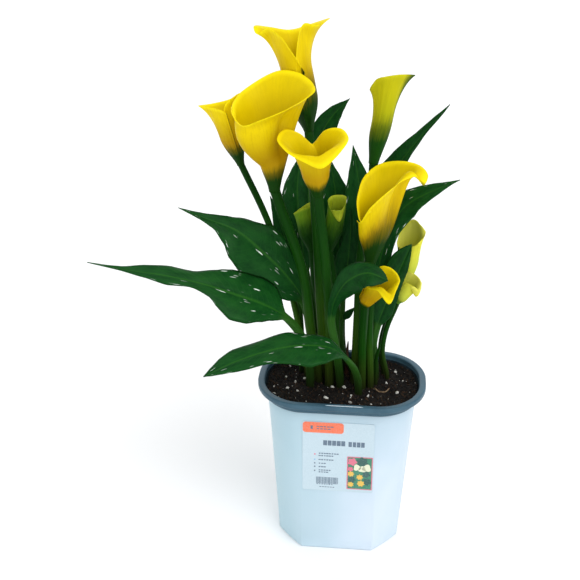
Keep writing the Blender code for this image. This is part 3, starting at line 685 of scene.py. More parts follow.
perlite = speckled(
    "perlite_grains", 0.85, 0.3, (700.0, 4.0),
    [(0.25, (0.30, 0.27, 0.22)), (0.5, (0.70, 0.69, 0.64)), (0.8, (0.92, 0.92, 0.88))], (0.6, 0.0006),
)
bark = speckled(
    "bark_chips", 0.88, 0.25, (320.0, 4.0, 0.6, (1, 1, 3)),
    [(0.3, (0.010, 0.006, 0.004)), (0.6, (0.045, 0.024, 0.012)), (0.85, (0.13, 0.075, 0.040))], (0.6, 0.0008),
)

crumbs_tree, into, output, crumbs_keys = group("soil_crumbs", {
    "Spacing": "Float", "Density": "Float", "Low": "Float", "Smallest": "Vector", "Largest": "Vector",
    "Lumpiness": "Float", "Seed": "Int", "Finish": "Material",
})
facing = axes(crumbs_tree, add(crumbs_tree, "GeometryNodeInputNormal").outputs[0])[2]
height = axes(crumbs_tree, add(crumbs_tree, "GeometryNodeInputPosition").outputs[0])[2]
lying, high_up = (
    add(crumbs_tree, "FunctionNodeCompare", {0: value, 1: least}, operation="GREATER_THAN").outputs[0]
    for value, least in ((facing, 0.5), (height, into["Low"]))
)
both = add(crumbs_tree, "FunctionNodeBooleanMath", {0: lying, 1: high_up}, operation="AND")
spots = add(crumbs_tree, "GeometryNodeDistributePointsOnFaces", {
    "Mesh": into["Geometry"], "Selection": both.outputs[0], "Distance Min": into["Spacing"],
    "Density Max": into["Density"], "Seed": into["Seed"],
}, distribute_method="POISSON")
turned, sized = (
    add(crumbs_tree, "FunctionNodeRandomValue", {0: least, 1: most, "Seed": into["Seed"]},
        data_type="FLOAT_VECTOR")
    for least, most in (((0, 0, 0), (6.28, 6.28, 6.28)), (into["Smallest"], into["Largest"]))
)
ball = add(crumbs_tree, "GeometryNodeMeshIcoSphere", {"Radius": 1.0, "Subdivisions": 2})
strewn = add(crumbs_tree, "GeometryNodeInstanceOnPoints", {
    "Points": spots.outputs[0], "Instance": ball.outputs[0], "Rotation": turned.outputs[0],
    "Scale": sized.outputs[0],
})
real = add(crumbs_tree, "GeometryNodeRealizeInstances", {"Geometry": strewn.outputs[0]})
lumps = add(crumbs_tree, "ShaderNodeTexNoise", {"Scale": 520.0, "Detail": 2.0})
centred = add(crumbs_tree, "ShaderNodeVectorMath", {0: lumps.outputs["Color"], 1: (0.5, 0.5, 0.5)},
              operation="SUBTRACT")
shift = add(crumbs_tree, "ShaderNodeVectorMath", {0: centred.outputs[0], "Scale": into["Lumpiness"]},
            operation="SCALE")
lumpy = add(crumbs_tree, "GeometryNodeSetPosition", {"Geometry": real.outputs[0], "Offset": shift.outputs[0]})
finished(crumbs_tree, lumpy.outputs[0], into["Finish"], output)

# Each sort: spacing, density, smallest and largest size, lumpiness, seed and finish.
LOWEST_CRUMB = 0.0050
CRUMBS = {
    "perlite": (0.0105, 4200.0, (0.0007, 0.0007, 0.0005), (0.0028, 0.0023, 0.0017), 0.0030, 4, perlite),
    "fine_perlite": (0.0070, 14000.0, (0.0003, 0.0003, 0.0002), (0.0007, 0.0007, 0.0005), 0.0007, 9, perlite),
    "bark": (0.0030, 60000.0, (0.0008, 0.0005, 0.0003), (0.0030, 0.0013, 0.0009), 0.0016, 2, bark),
    "peat_crumbs": (0.0016, 200000.0, (0.0004, 0.0004, 0.0004), (0.0015, 0.0014, 0.0012), 0.0014, 6, peat),
}
for name, (spacing, density, smallest, largest, lumpiness, seed, finish) in CRUMBS.items():
    crumbs = made_object(f"soil_{name}", soil.data.copy())
    grown_by(crumbs_tree, crumbs_keys, crumbs, {
        "Spacing": spacing, "Density": density, "Low": SOIL_TOP - LOWEST_CRUMB, "Smallest": smallest,
        "Largest": largest, "Lumpiness": lumpiness, "Seed": seed, "Finish": finish,
    })
    fitted(crumbs, "soil")


# Tubers: two flattened brown storage roots under the peat, one for each clump of stalks. They
# are out of sight, and keep the frame's own shape.

corky = speckled(
    "corky_skin", 0.82, 0.3, (140.0, 5.0, 0.65, (1, 1, 2.4)),
    [(0.3, (0.10, 0.055, 0.026)), (0.7, (0.30, 0.18, 0.09))], (0.6, 0.0015),
)
for name in ("tuber_left", "tuber_right"):
    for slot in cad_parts[name].material_slots:
        slot.material = corky


# Flower stalks: round, finely ribbed and juicy green, each growing straight out of the soil
# and leaning out to its flower. One node tree gives each its ribs and its girth along its way.

STALK_DEPTH = 0.018
STALK_NECK = 0.008
STALK_SWELLINGS = ((1, 0.02, 0.0005), (0.10, 0.07, 0.0008))
THIN_STALK = 0.003
# The foot of each stalk and leaf stalk is partly brown tissue and partly painted shade under the leaves.
# These give how high it climbs and its colour.
EARTHY_SHADE_REACH = 0.045
EARTHY_SHADE_COLOUR = (0.012, 0.014, 0.005)


def metres(sizes):
    """Sizes in millimetres, nested in any way, as metres nested in the same way."""
    if isinstance(sizes, (int, float)):
        return sizes / 1000
    return type(sizes)(metres(size) for size in sizes)


# Millimetres. Each stalk: its foot, the points it bends through, the flower's throat, and how thick
# it is at either end, from its middle.
SCAPES = {
    "top": ((-20, 24), [(-25, 25, 84), (-30, 24, 168), (-35, 34, 220)], (-39, 44, 251), (4.3, 4.2)),
    "left": ((-36, 22), [(-45, 28, 48), (-63, 38, 117), (-81, 34, 171)], (-101, 22, 223), (3.2, 3.2)),
    "large": ((-24, 12), [(-32, 8, 57), (-40, 2, 122)], (-66, -4, 207), (4.5, 4.8)),
    "small_front": ((-13, 6), [(-13, -2, 75), (-19, -14, 153)], (-25, -22, 210), (4.6, 4.6)),
    "upper_right": ((12, 13), [(13, 16, 68), (15, 30, 147), (22, 36, 196)], (23, 38, 223), (4, 4.2)),
    "right": ((28, 5), [(25, 7, 62), (25, 7, 100)], (24, 5, 135), (3.2, 4.8)),
    "low_front": ((20, 2), [(19, -2, 55)], (20, -10, 98), (3.3, 4.8)),
    "right_back": ((41, 34), [(37, 38, 24), (43, 45, 57)], (58, 54, 90), (2.2, 3.4)),
    "curled": ((45, 24), [(39, 26, 30), (42, 30, 53)], (52, 32, 83), (2, 3)),
    "young_left": ((-12, 30), [(-21, 34, 46), (-31, 38, 94)], (-35, 40, 132), (3.4, 3.4)),
    "young_right": ((-7, 18), [(-8, 24, 63), (-11, 32, 97)], (-17, 38, 132), (3.4, 3.4)),
}
SCAPES = {name: metres(sizes) for name, sizes in SCAPES.items()}


def in_pot(point):
    """A point of the plant, given from the soil's surface."""
    return Vector(point) + Vector((0, 0, SOIL_TOP))


def bowed(a, b, c, d, t):
    """A point of the Bezier stretch from a to d."""
    s = 1 - t
    return a * s**3 + 3 * b * s * s * t + 3 * c * s * t * t + d * t**3


def curve_through(points, steps):
    """A smooth curve through unevenly spaced points, with steps stretches between each two."""
    points = [Vector(point) for point in points]
    gaps = [(after - before).length for before, after in zip(points, points[1:])]
    slopes = [(after - before) / gap for before, after, gap in zip(points, points[1:], gaps)]
    inner = [
        (slopes[i] * gaps[i + 1] + slopes[i + 1] * gaps[i]) / (gaps[i] + gaps[i + 1])
        for i in range(len(gaps) - 1)
    ]
    speeds = [slopes[0], *inner, slopes[-1]]
    found = []
    for i, gap in enumerate(gaps):
        near = points[i] + speeds[i] * gap / 3
        far = points[i + 1] - speeds[i + 1] * gap / 3
        found += [bowed(points[i], near, far, points[i + 1], step / steps) for step in range(steps)]
    return found + [points[-1]]


def earthy_and_shaded_foot(tree, where, tint):
    """Tissue turns brown and dull where it comes out of the soil, and darker there as painted shade."""
    height = axes(tree, where)[2]
    above = sums(tree, "MULTIPLY_ADD", height, 1 / EARTHY_SHADE_REACH, -(SOIL_TOP - 0.002) / EARTHY_SHADE_REACH)
    return mixed(tree, ramp(tree, above, [(0.0, 0.92), (0.35, 0.55), (1.0, 0.0)]), tint, EARTHY_SHADE_COLOUR)


stalk_green, tree, shader, where = surface("stalk_green", 0.50, 0.07)
along = add(tree, "ShaderNodeAttribute", attribute_name="along").outputs["Fac"]
around = add(tree, "ShaderNodeAttribute", attribute_name="around").outputs["Fac"]
lines = add(tree, "ShaderNodeCombineXYZ", {0: sums(tree, "MULTIPLY", around, 9.0),
                                           1: sums(tree, "MULTIPLY", along, 1.2)}).outputs[0]
streaks = grain(tree, lines, 4.0, 4.0, 0.6)
tint = ramp(tree, along, [(0.0, (0.050, 0.045, 0.010)), (0.10, (0.046, 0.085, 0.006)),
                          (0.24, (0.030, 0.092, 0.005)), (0.50, (0.006, 0.055, 0.002)),
                          (0.92, (0.002, 0.034, 0.001)), (1.0, (0.004, 0.036, 0.001))])
streak_green = ramp(tree, along, [(0.10, (0.085, 0.150, 0.006)), (0.45, (0.014, 0.076, 0.002)),
                                  (0.95, (0.004, 0.050, 0.001))])
tint = mixed(tree, ramp(tree, streaks, [(0.44, 0.0), (0.66, 0.60)]), tint, streak_green)
tint = mixed(tree, ramp(tree, grain(tree, lines, 9.0, 2.0), [(0.60, 0.0), (0.72, 0.45)]), tint,
             (0.012, 0.022, 0.005))
coloured(tree, shader, earthy_and_shaded_foot(tree, where, tint))
dented(tree, shader, streaks, 0.25, 0.0006)

stalk_tree, into, output, stalk_keys = group("ribbed_stalk", {
    "Sides": "Int", "Ribs": "Float", "Rib depth": "Float", "Finish": "Material",
})
line = add(stalk_tree, "GeometryNodeMeshToCurve", {"Mesh": into["Geometry"]})
step = add(stalk_tree, "GeometryNodeSplineParameter")
marked = add(stalk_tree, "GeometryNodeStoreNamedAttribute", {
    "Geometry": line.outputs[0], "Name": "along", "Value": step.outputs["Factor"],
}, data_type="FLOAT", domain="POINT")
circle = add(stalk_tree, "GeometryNodeCurvePrimitiveCircle", {"Resolution": into["Sides"], "Radius": 1.0})
turns = sums(stalk_tree, "MULTIPLY", step.outputs["Factor"], into["Ribs"])
angle = sums(stalk_tree, "MULTIPLY", turns, math.tau)
swell = sums(stalk_tree, "MULTIPLY", sums(stalk_tree, "COSINE", angle), into["Rib depth"])
ringed = add(stalk_tree, "GeometryNodeInputPosition")
pushed = add(stalk_tree, "ShaderNodeVectorMath", {0: ringed.outputs[0], "Scale": swell}, operation="SCALE")
ribbed = add(stalk_tree, "GeometryNodeSetPosition", {
    "Geometry": circle.outputs[0], "Offset": pushed.outputs[0],
})
half_way = sums(stalk_tree, "ABSOLUTE", sums(stalk_tree, "SUBTRACT", step.outputs["Factor"], 0.5))
round_mark = add(stalk_tree, "GeometryNodeStoreNamedAttribute", {
    "Geometry": ribbed.outputs[0], "Name": "around", "Value": half_way,
}, data_type="FLOAT", domain="POINT")
girth = add(stalk_tree, "GeometryNodeInputNamedAttribute", {"Name": "girth"}, data_type="FLOAT")
skin = add(stalk_tree, "GeometryNodeCurveToMesh", {
    "Curve": marked.outputs[0], "Profile Curve": round_mark.outputs[0], "Scale": girth.outputs[0],
    "Fill Caps": True,
})
smooth = add(stalk_tree, "GeometryNodeSetShadeSmooth", {"Geometry": skin.outputs[0]})
finished(stalk_tree, smooth.outputs[0], into["Finish"], output)


def stalk(name, path, girths, finish, ribs=9.0, rib_depth=0.035):
    """A ribbed stalk along a path, as thick at each point as girths says."""
    mesh = bpy.data.meshes.new(name)
    mesh.from_pydata(path, [(i, i + 1) for i in range(len(path) - 1)], [])
    mesh.attributes.new("girth", "FLOAT", "POINT").data.foreach_set("value", girths)
    return grown_by(stalk_tree, stalk_keys, made_object(name, mesh), {
        "Sides": 36, "Ribs": ribs, "Rib depth": rib_depth, "Finish": finish,
    })


for name, (foot, points, throat, (foot_girth, throat_girth)) in SCAPES.items():
    aim = Vector(throat) - Vector(points[-1])
    neck = Vector(throat) - aim.normalized() * STALK_NECK
    path = curve_through([in_pot(p) for p in ((*foot, -STALK_DEPTH), (*foot, 0), *points, neck, throat)], 7)
    last = len(path) - 1
    girths = []
    for i in range(last + 1):
        share = i / last
        swollen = 0.0
        if foot_girth > THIN_STALK:
            swollen = sum(
                size * math.exp(-((share - place) / reach) ** 2) for place, reach, size in STALK_SWELLINGS
            )
        girths.append(foot_girth + (throat_girth - foot_girth) * share + swollen)
    piece = stalk(f"{name}_stalk", path, girths, stalk_green)
    fitted(piece, "scape", f"scape_{name}")


# Spathes: each flower is one waxy yellow sheet rolled into a trumpet. Its two edges lap down the
# tube, its margin turns outwards and its far end draws out into a point. The foot is green.

SPATHE_WALL = 0.0009
COLUMNS = 84
SPATHE_ROWS = 34
LAP = 0.10
LAP_LIFT = 0.0009
THIN_MARGIN = 0.35
NOTCH_WIDTH = 0.09
MARGIN_SAMPLES = 48
SEAT_SINK = 0.0015
SPATHE_GAP = 0.0004
RIB_HEIGHT = 0.00012
TIP_REACH = 0.12
DROOP_REACH = 0.15
BULGE_REACH = 0.10
BULGE_FROM = 0.34
SPATHE_AIMS = {}
# Lengths in millimetres, the rest as shares. tube is the tube's radius, reached at swell of the
# height; above flare the sheet opens, faster or slower by power, over a crest. seam is where on the
# margin the two edges lap, and notch how far they drop there. green is how high the green foot
# climbs. mouth is the margin, from the tip round.
SPATHE_LENGTHS = ("tube", "crest", "notch", "droop", "mouth")
SPATHES = {
    "top": {
        "tube": 14.5, "swell": 0.34, "flare": 0.62, "power": 1.9, "crest": 4,
        "seam": 0.292, "notch": 34, "notch_width": 0.15, "green": 0.62, "seam_green": 0.026,
        "mouth": [
            (-21, 48, 353), (-31, 34, 349), (-42, 24, 352), (-49, 22, 341), (-55, 22, 335),
            (-64, 24, 341), (-75, 30, 346), (-86, 36, 340), (-89, 42, 346), (-78, 56, 343),
            (-59, 66, 339), (-40, 62, 345),
        ],
    },
    "left": {
        "tube": 11.5, "swell": 0.50, "flare": 0.50, "power": 1.9, "crest": 2,
        "seam": 0.333, "notch": 6, "green": 0.44, "seam_green": 0.010,
        "mouth": [
            (-139, 20, 277), (-128, 12, 278), (-118, 6, 278), (-113, 4, 278), (-110, 6, 284),
            (-102, 12, 290), (-99, 24, 289), (-112, 36, 280), (-128, 34, 276),
        ],
    },
    "large": {
        "tube": 19.5, "swell": 0.80, "flare": 0.46, "power": 1.8, "crest": 6,
        "seam": 0.53, "notch": 3, "green": 0.36, "outer": -1,
        "bulges": ((0.61, 13), (0.86, -13)),
        "mouth": [
            (-29, -10, 301), (-36, 10, 306), (-50, 22, 310), (-68, 25, 309), (-90, 16, 298),
            (-101, -2, 290), (-101, -20, 283), (-90, -36, 275), (-72, -42, 282), (-53, -36, 289),
            (-38, -24, 295),
        ],
    },
    "small_front": {
        "tube": 12.5, "swell": 0.46, "flare": 0.42, "power": 1.5, "crest": 4,
        "seam": 0.4545, "notch": 7, "green": 0.42, "droop": 12,
        "mouth": [
            (-19, -56, 245), (-5, -48, 256), (2, -32, 265), (-6, -18, 270), (-20, -12, 266),
            (-31, -10, 254), (-43, -12, 263), (-55, -20, 268), (-60, -34, 263), (-50, -46, 255),
            (-34, -54, 249),
        ],
    },
    "upper_right": {
        "tube": 9.4, "swell": 0.46, "flare": 0.58, "power": 1.8, "crest": 3,
        "seam": 0.66, "notch": 4, "green": 0.60, "tip_green": (0.150, 3.0),
        "mouth": [
            (58, 36, 306), (46, 24, 309), (33, 20, 308), (23, 24, 304), (17, 34, 292), (24, 50, 290),
            (37, 54, 296), (49, 48, 301),
        ],
    },
    "right": {
        "tube": 13.8, "swell": 0.66, "flare": 0.45, "power": 1.6, "crest": 4,
        "seam": 0.62, "notch": 3, "green": 0.62, "outer": -1, "droop": 17, "tip_power": 3.6,
        "tip_green": (0.040, 0.16), "bulges": ((0.60, 3), (0.88, -8)),
        "mouth": [
            (69, -6, 216), (73, 0, 223), (67, 6, 230), (54, 14, 232), (38, 22, 229), (26, 24, 224),
            (15, 18, 215), (10, 8, 202), (10, -4, 191), (14, -12, 182), (23, -22, 199), (34, -25, 212),
            (44, -22, 220), (51, -15, 223), (62, -9, 225),
        ],
    },
    "low_front": {
        "tube": 8, "swell": 0.50, "flare": 0.40, "power": 1.5, "crest": 4,
        "seam": 0.66, "notch": 3, "green": 0.22, "droop": 9,
        "mouth": [
            (43, -34, 110), (49, -30, 123), (52, -22, 130), (46, -14, 136), (37, -8, 137),
            (28, -4, 131), (19, -10, 123), (23, -22, 120), (32, -32, 122),
        ],
    },
    "right_back": {
        "tube": 10.5, "swell": 0.50, "flare": 0.55, "power": 1.8, "crest": 2,
        "seam": 0.45, "notch": 4, "green": 0.40,
        "mouth": [
            (63, 60, 159), (71, 50, 157), (76, 46, 150), (69, 40, 142), (58, 42, 136), (49, 50, 135),
            (52, 60, 147),
        ],
    },
    "curled": {
        "tube": 7, "swell": 0.45, "flare": 0.45, "power": 1.4, "crest": 4,
        "seam": 0.60, "notch": 2, "green": 0.30, "droop": 6,
        "mouth": [
            (69, 22, 93), (73, 24, 99), (73, 30, 107), (65, 36, 112), (56, 40, 109), (51, 34, 103),
            (61, 26, 103),
        ],
    },
    "young_left": {
        "tube": 9.8, "swell": 0.50, "flare": 0.60, "power": 1.8, "crest": 1,
        "seam": 0.50, "notch": 3, "green": 0.80,
        "mouth": [
            (-53, 40, 168), (-45, 34, 175), (-38, 34, 178), (-32, 38, 182), (-39, 50, 176),
            (-46, 50, 171),
        ],
    },
    "young_right": {
        "tube": 9, "swell": 0.50, "flare": 0.55, "power": 1.2, "crest": 2,
        "seam": 0.62, "notch": 2, "green": 0.80, "droop": 14,
        "mouth": [
            (-7, 20, 169), (-3, 28, 180), (-2, 40, 187), (-11, 50, 185), (-19, 44, 183),
            (-16, 30, 177),
        ],
    },
}
for flower in SPATHES.values():
    flower.update({part: metres(flower[part]) for part in SPATHE_LENGTHS if part in flower})
    flower["bulges"] = [(place, metres(size)) for place, size in flower.get("bulges", ())]


def petal_finish(name, body, deep, edge, foot, vein):
    """Waxy petal tissue: deeper down the tube, paler at the margin, green at the foot."""
    made, tree, shader, _ = surface(name, 0.50, 0.06)
    sheet = add(tree, "ShaderNodeUVMap", uv_map="sheet").outputs[0]
    up_sheet = axes(tree, sheet)[1]
    tint = ramp(tree, up_sheet, [(0.0, deep), (0.46, deep), (0.80, body), (0.92, body), (0.985, edge)])
    mottle = grain(tree, sheet, 5.0, 3.0, 0.5, (2.2, 1.0, 1))
    tint = mixed(tree, ramp(tree, mottle, [(0.35, 0.0), (0.75, 0.22)]), tint, deep)
    fine = grain(tree, sheet, 3.0, 4.0, 0.65, (34.0, 1.4, 1))
    tint = mixed(tree, ramp(tree, fine, [(0.50, 0.0), (0.70, vein)]), tint, deep)
    green = add(tree, "ShaderNodeAttribute", attribute_name="green").outputs["Fac"]
    ragged = sums(tree, "ADD", green, sums(tree, "MULTIPLY", sums(tree, "SUBTRACT", fine, 0.5), 0.5))
    half_green = tuple(0.45 * a + 0.55 * b for a, b in zip(deep, foot))
    tint = mixed(tree, ramp(tree, ragged, [(0.70, 1.0), (1.0, 0.0)]), tint, half_green)
    tint = mixed(tree, ramp(tree, ragged, [(0.45, 1.0), (0.85, 0.0)]), tint, foot)
    coloured(tree, shader, tint)
    dented(tree, shader, fine, 0.22, 0.0006)
    return made


yellow_outside = petal_finish(
    "yellow_spathe_outside", (0.82, 0.62, 0.002), (0.45, 0.27, 0.001), (0.98, 0.82, 0.006),
    (0.006, 0.040, 0.002), 0.30)
yellow_inside = petal_finish(
    "yellow_spathe_inside", (0.76, 0.58, 0.001), (0.52, 0.38, 0.001), (0.98, 0.80, 0.006),
    (0.30, 0.28, 0.004), 0.20)
lime_outside = petal_finish(
    "lime_spathe_outside", (0.54, 0.50, 0.005), (0.36, 0.38, 0.004), (0.62, 0.58, 0.010),
    (0.008, 0.060, 0.003), 0.35)
pale_outside = petal_finish(
    "pale_spathe_outside", (0.74, 0.72, 0.050), (0.52, 0.58, 0.055), (0.78, 0.74, 0.060),
    (0.110, 0.260, 0.020), 0.30)
pale_inside = petal_finish(
    "pale_spathe_inside", (0.76, 0.74, 0.110), (0.62, 0.64, 0.070), (0.80, 0.76, 0.080),
    (0.30, 0.38, 0.020), 0.25)
young_outside = petal_finish(
    "young_spathe_outside", (0.140, 0.270, 0.010), (0.055, 0.150, 0.006), (0.34, 0.44, 0.020),
    (0.006, 0.045, 0.003), 0.55)
young_inside = petal_finish(
    "young_spathe_inside", (0.34, 0.42, 0.020), (0.20, 0.30, 0.012), (0.45, 0.52, 0.030),
    (0.040, 0.120, 0.006), 0.45)
SPATHE_FINISHES = {
    "upper_right": (lime_outside, yellow_inside),
    "right_back": (pale_outside, pale_inside),
    "curled": (pale_outside, pale_inside),
    "young_left": (young_outside, young_inside),
    "young_right": (young_outside, young_inside),
}


def eased(share):
    """A share of the way, starting and ending gently."""
    share = min(max(share, 0.0), 1.0)
    return share * share * (3 - 2 * share)


def loop_point(points, share):
    """A point of the closed smooth curve through the points, at a share of the way round."""
    size = len(points)
    at = (share % 1.0) * size
    i, t = int(at) % size, at - int(at)
    a, b, c, d = (points[(i + shift) % size] for shift in (-1, 0, 1, 2))
    return 0.5 * (2 * b + (c - a) * t + (2 * a - 5 * b + 4 * c - d) * t**2 + (3 * b - a - 3 * c + d) * t**3)


def green_share(flower, t, u, from_tip):
    """How far a place of the sheet is from its green parts: foot, seam and tip. 1 is all yellow."""
    share = t / flower["green"]
    if "seam_green" in flower:
        share = min(share, 0.20 + min(u, 1 - u) / flower["seam_green"] + 2.4 * max(t - 0.94, 0) / 0.06)
    if "tip_green" in flower:
        width, length = flower["tip_green"]
        share = min(share, 0.35 + from_tip / width + (1 - t) / length)
    return share


def spathe(name, throat, foot_girth, flower):
    """One rolled sheet from the throat to the margin, as an open grid given its wall."""
    margin = [in_pot(point) for point in flower["mouth"]]
    seat = in_pot(throat)
    rim = [loop_point(margin, k / MARGIN_SAMPLES) for k in range(MARGIN_SAMPLES)]
    axis = (sum(rim, Vector()) / len(rim) - seat).normalized()
    spokes = [point - seat for point in rim]
    turning = sum(a.cross(b).dot(axis) for a, b in zip(spokes, spokes[1:] + spokes[:1]))
    SPATHE_AIMS[name] = (seat, axis, min((point - seat).dot(axis) for point in rim))
    base = foot_girth + SPATHE_GAP
    columns, greens = [], []
    for column in range(COLUMNS + 1):
        u = column / COLUMNS
        share = flower["seam"] + (u * (1 + LAP) - LAP / 2) * (1 if turning > 0 else -1)
        edge_point = loop_point(margin, share)
        height = (edge_point - seat).dot(axis)
        outwards = edge_point - seat - axis * height
        reach = outwards.length
        outwards.normalize()
        to_edge = min(u, 1 - u) / flower.get("notch_width", NOTCH_WIDTH)
        full_height = height
        height -= flower["notch"] * max(0.0, 1 - to_edge) ** 2
        from_tip = min(share % 1, 1 - share % 1)
        rolled = sum(
            size * math.exp(-(((share % 1) - place) / BULGE_REACH) ** 2) for place, size in flower["bulges"]
        )
        near_tip = math.exp(-(from_tip / TIP_REACH) ** 2)
        power = flower["power"] + (flower.get("tip_power", flower["power"]) - flower["power"]) * near_tip
        over = u if flower.get("outer", 1) > 0 else 1 - u
        lift = LAP_LIFT * (eased((over - 0.78) / 0.14) - 0.35 * eased((0.14 - over) / 0.12))
        rows = []
        for row in range(SPATHE_ROWS + 1):
            t = row / SPATHE_ROWS
            full = eased(t / flower["swell"]) ** 0.75
            tube = base + (flower["tube"] - base) * full
            open_share = max(t - flower["flare"], 0) / (1 - flower["flare"])
            radius = tube + (reach - tube) * open_share ** power
            over_tip = flower.get("droop", 0) * math.exp(-(from_tip / DROOP_REACH) ** 2)
            rise = height * t + (flower["crest"] + over_tip) * math.sin(math.pi * open_share ** 1.4)
            ribbing = RIB_HEIGHT * math.cos(26 * math.pi * u) * eased(t * 3)
            radius += lift * min(4 * t, 1) + ribbing
            radius += rolled * math.sin(math.pi * max(t - BULGE_FROM, 0) / (1 - BULGE_FROM)) ** 1.5
            rows.append(seat + axis * (rise - SEAT_SINK * (1 - t)) + outwards * radius)
            greens.append(green_share(flower, t * height / full_height, u, from_tip))
        columns.append(rows)
    bm = bmesh.new()
    sheet = bm.loops.layers.uv.new("sheet")
    grid = [[bm.verts.new(point) for point in rows] for rows in columns]
    for column in range(COLUMNS):
        for row in range(SPATHE_ROWS):
            corners = ((column, row), (column + 1, row), (column + 1, row + 1), (column, row + 1))
            face = bm.faces.new([grid[i][j] for i, j in corners])
            face.smooth = True
            for loop, (i, j) in zip(face.loops, corners):
                loop[sheet].uv = (i / COLUMNS, j / SPATHE_ROWS)
    mesh = bpy.data.meshes.new(f"{name}_spathe")
    bm.to_mesh(mesh)
    bm.free()
    ups = [row / SPATHE_ROWS for column in range(COLUMNS + 1) for row in range(SPATHE_ROWS + 1)]
    mesh.attributes.new("green", "FLOAT", "POINT").data.foreach_set("value", greens)
    piece = made_object(f"{name}_spathe", mesh, *SPATHE_FINISHES.get(name, (yellow_outside, yellow_inside)))
    thin = piece.vertex_groups.new(name="thickness")
    for index, t in enumerate(ups):
        side = min(index // (SPATHE_ROWS + 1), COLUMNS - index // (SPATHE_ROWS + 1)) / COLUMNS
        share = min(1, THIN_MARGIN + (1 - t) / 0.12, THIN_MARGIN + side / 0.05)
        thin.add([index], share, "REPLACE")
    wall = piece.modifiers.new("wall", "SOLIDIFY")
    wall.thickness = SPATHE_WALL
    wall.offset = -1
    wall.material_offset = 1
    wall.use_even_offset = False
    wall.vertex_group = "thickness"
    return piece


for name, flower in SPATHES.items():
    throat, girths = SCAPES[name][2:]
    slot = "young_spathe" if name.startswith("young") else "spathe"
    fitted(spathe(name, throat, girths[1], flower), slot, f"spathe_{name}")


# Spadices: a golden finger of tiny packed florets stands in each trumpet, out of sight in most.
# It grows from the stalk's end, and the spathe is rolled round it.

SPADIX_STEPS = 12
SPADIX_SIDES = 14
SPADIX_REACH = 0.54
spadix_gold = speckled(
    "floret_gold", 0.6, 0.3, (900.0, 3.0),
    [(0.3, (0.66, 0.28, 0.010)), (0.7, (0.95, 0.58, 0.040))], (0.4, 0.0004),
)

florets_tree, into, output, florets_keys = group("packed_florets", {
    "Spacing": "Float", "Floret": "Float", "Seed": "Int", "Finish": "Material",
})
spots = add(florets_tree, "GeometryNodeDistributePointsOnFaces", {
    "Mesh": into["Geometry"], "Distance Min": into["Spacing"], "Density Max": 4.0e6, "Seed": into["Seed"],
}, distribute_method="POISSON")
bead = add(florets_tree, "GeometryNodeMeshIcoSphere", {"Radius": 1.0, "Subdivisions": 1})
sized = add(florets_tree, "ShaderNodeCombineXYZ", {axis: into["Floret"] for axis in range(3)})
grown = add(florets_tree, "GeometryNodeInstanceOnPoints", {
    "Points": spots.outputs[0], "Instance": bead.outputs[0], "Rotation": spots.outputs["Rotation"],
    "Scale": sized.outputs[0],
})
joined = add(florets_tree, "GeometryNodeJoinGeometry")
florets_tree.links.new(grown.outputs[0], joined.inputs[0])
florets_tree.links.new(into["Geometry"], joined.inputs[0])
smooth = add(florets_tree, "GeometryNodeSetShadeSmooth", {"Geometry": joined.outputs[0]})
finished(florets_tree, smooth.outputs[0], into["Finish"], output)


def round_ring(centre, axis, radius, sides):
    """A circle of points about an axis."""
    across = Vector((1, 0, 0)) - axis * axis.x
    across.normalize()
    along = axis.cross(across)
    turns = [2 * math.pi * i / sides for i in range(sides)]
    return [centre + radius * (across * math.cos(a) + along * math.sin(a)) for a in turns]


for index, (name, (seat, axis, height)) in enumerate(SPATHE_AIMS.items()):
    foot_width = 0.42 * (SCAPES[name][3][1] - 0.0011)
    rings = []
    for step in range(SPADIX_STEPS + 1):
        share = step / SPADIX_STEPS
        tip = math.sqrt(max(1 - max(share - 0.72, 0) ** 2 / 0.082, 0.02))
        width = foot_width * (1 + 0.95 * eased(share / 0.5)) * tip
        centre = seat + axis * (0.0006 + SPADIX_REACH * height * share)
        rings.append(round_ring(centre, axis, width, SPADIX_SIDES))
    core = lofted(f"{name}_spadix", rings, crease=180)
    grown_by(florets_tree, florets_keys, core, {
        "Spacing": 0.00075, "Floret": 0.00042, "Seed": 31 + index, "Finish": spadix_gold,
    })
    fitted(core, "spadix", f"spadix_{name}")


# Leaves: arrow-shaped blades on fleshy stalks, dark green with a sunk midrib and raised keel,
# each grown as one piece from the soil. Some carry clear white flecks that run with the veins.

BLADE_WALL = 0.0009
BLADE_ACROSS = 14
PATH_STEPS = 9
RIB_TAPER = 0.80
BLADE_CUP = 0.16
MIDRIB_SINK = 0.0005
STALK_GROOVE = 0.18
OPENING_ROWS = 11
OPEN_BEFORE_NECK = 7
RIPPLES = 17
EVEN_EDGES = [
    (0, 0.16), (0.06, 0.34), (0.15, 0.68), (0.27, 0.93), (0.38, 1.0), (0.50, 0.93), (0.65, 0.68),
    (0.80, 0.38), (0.92, 0.14), (1, 0.01),
]
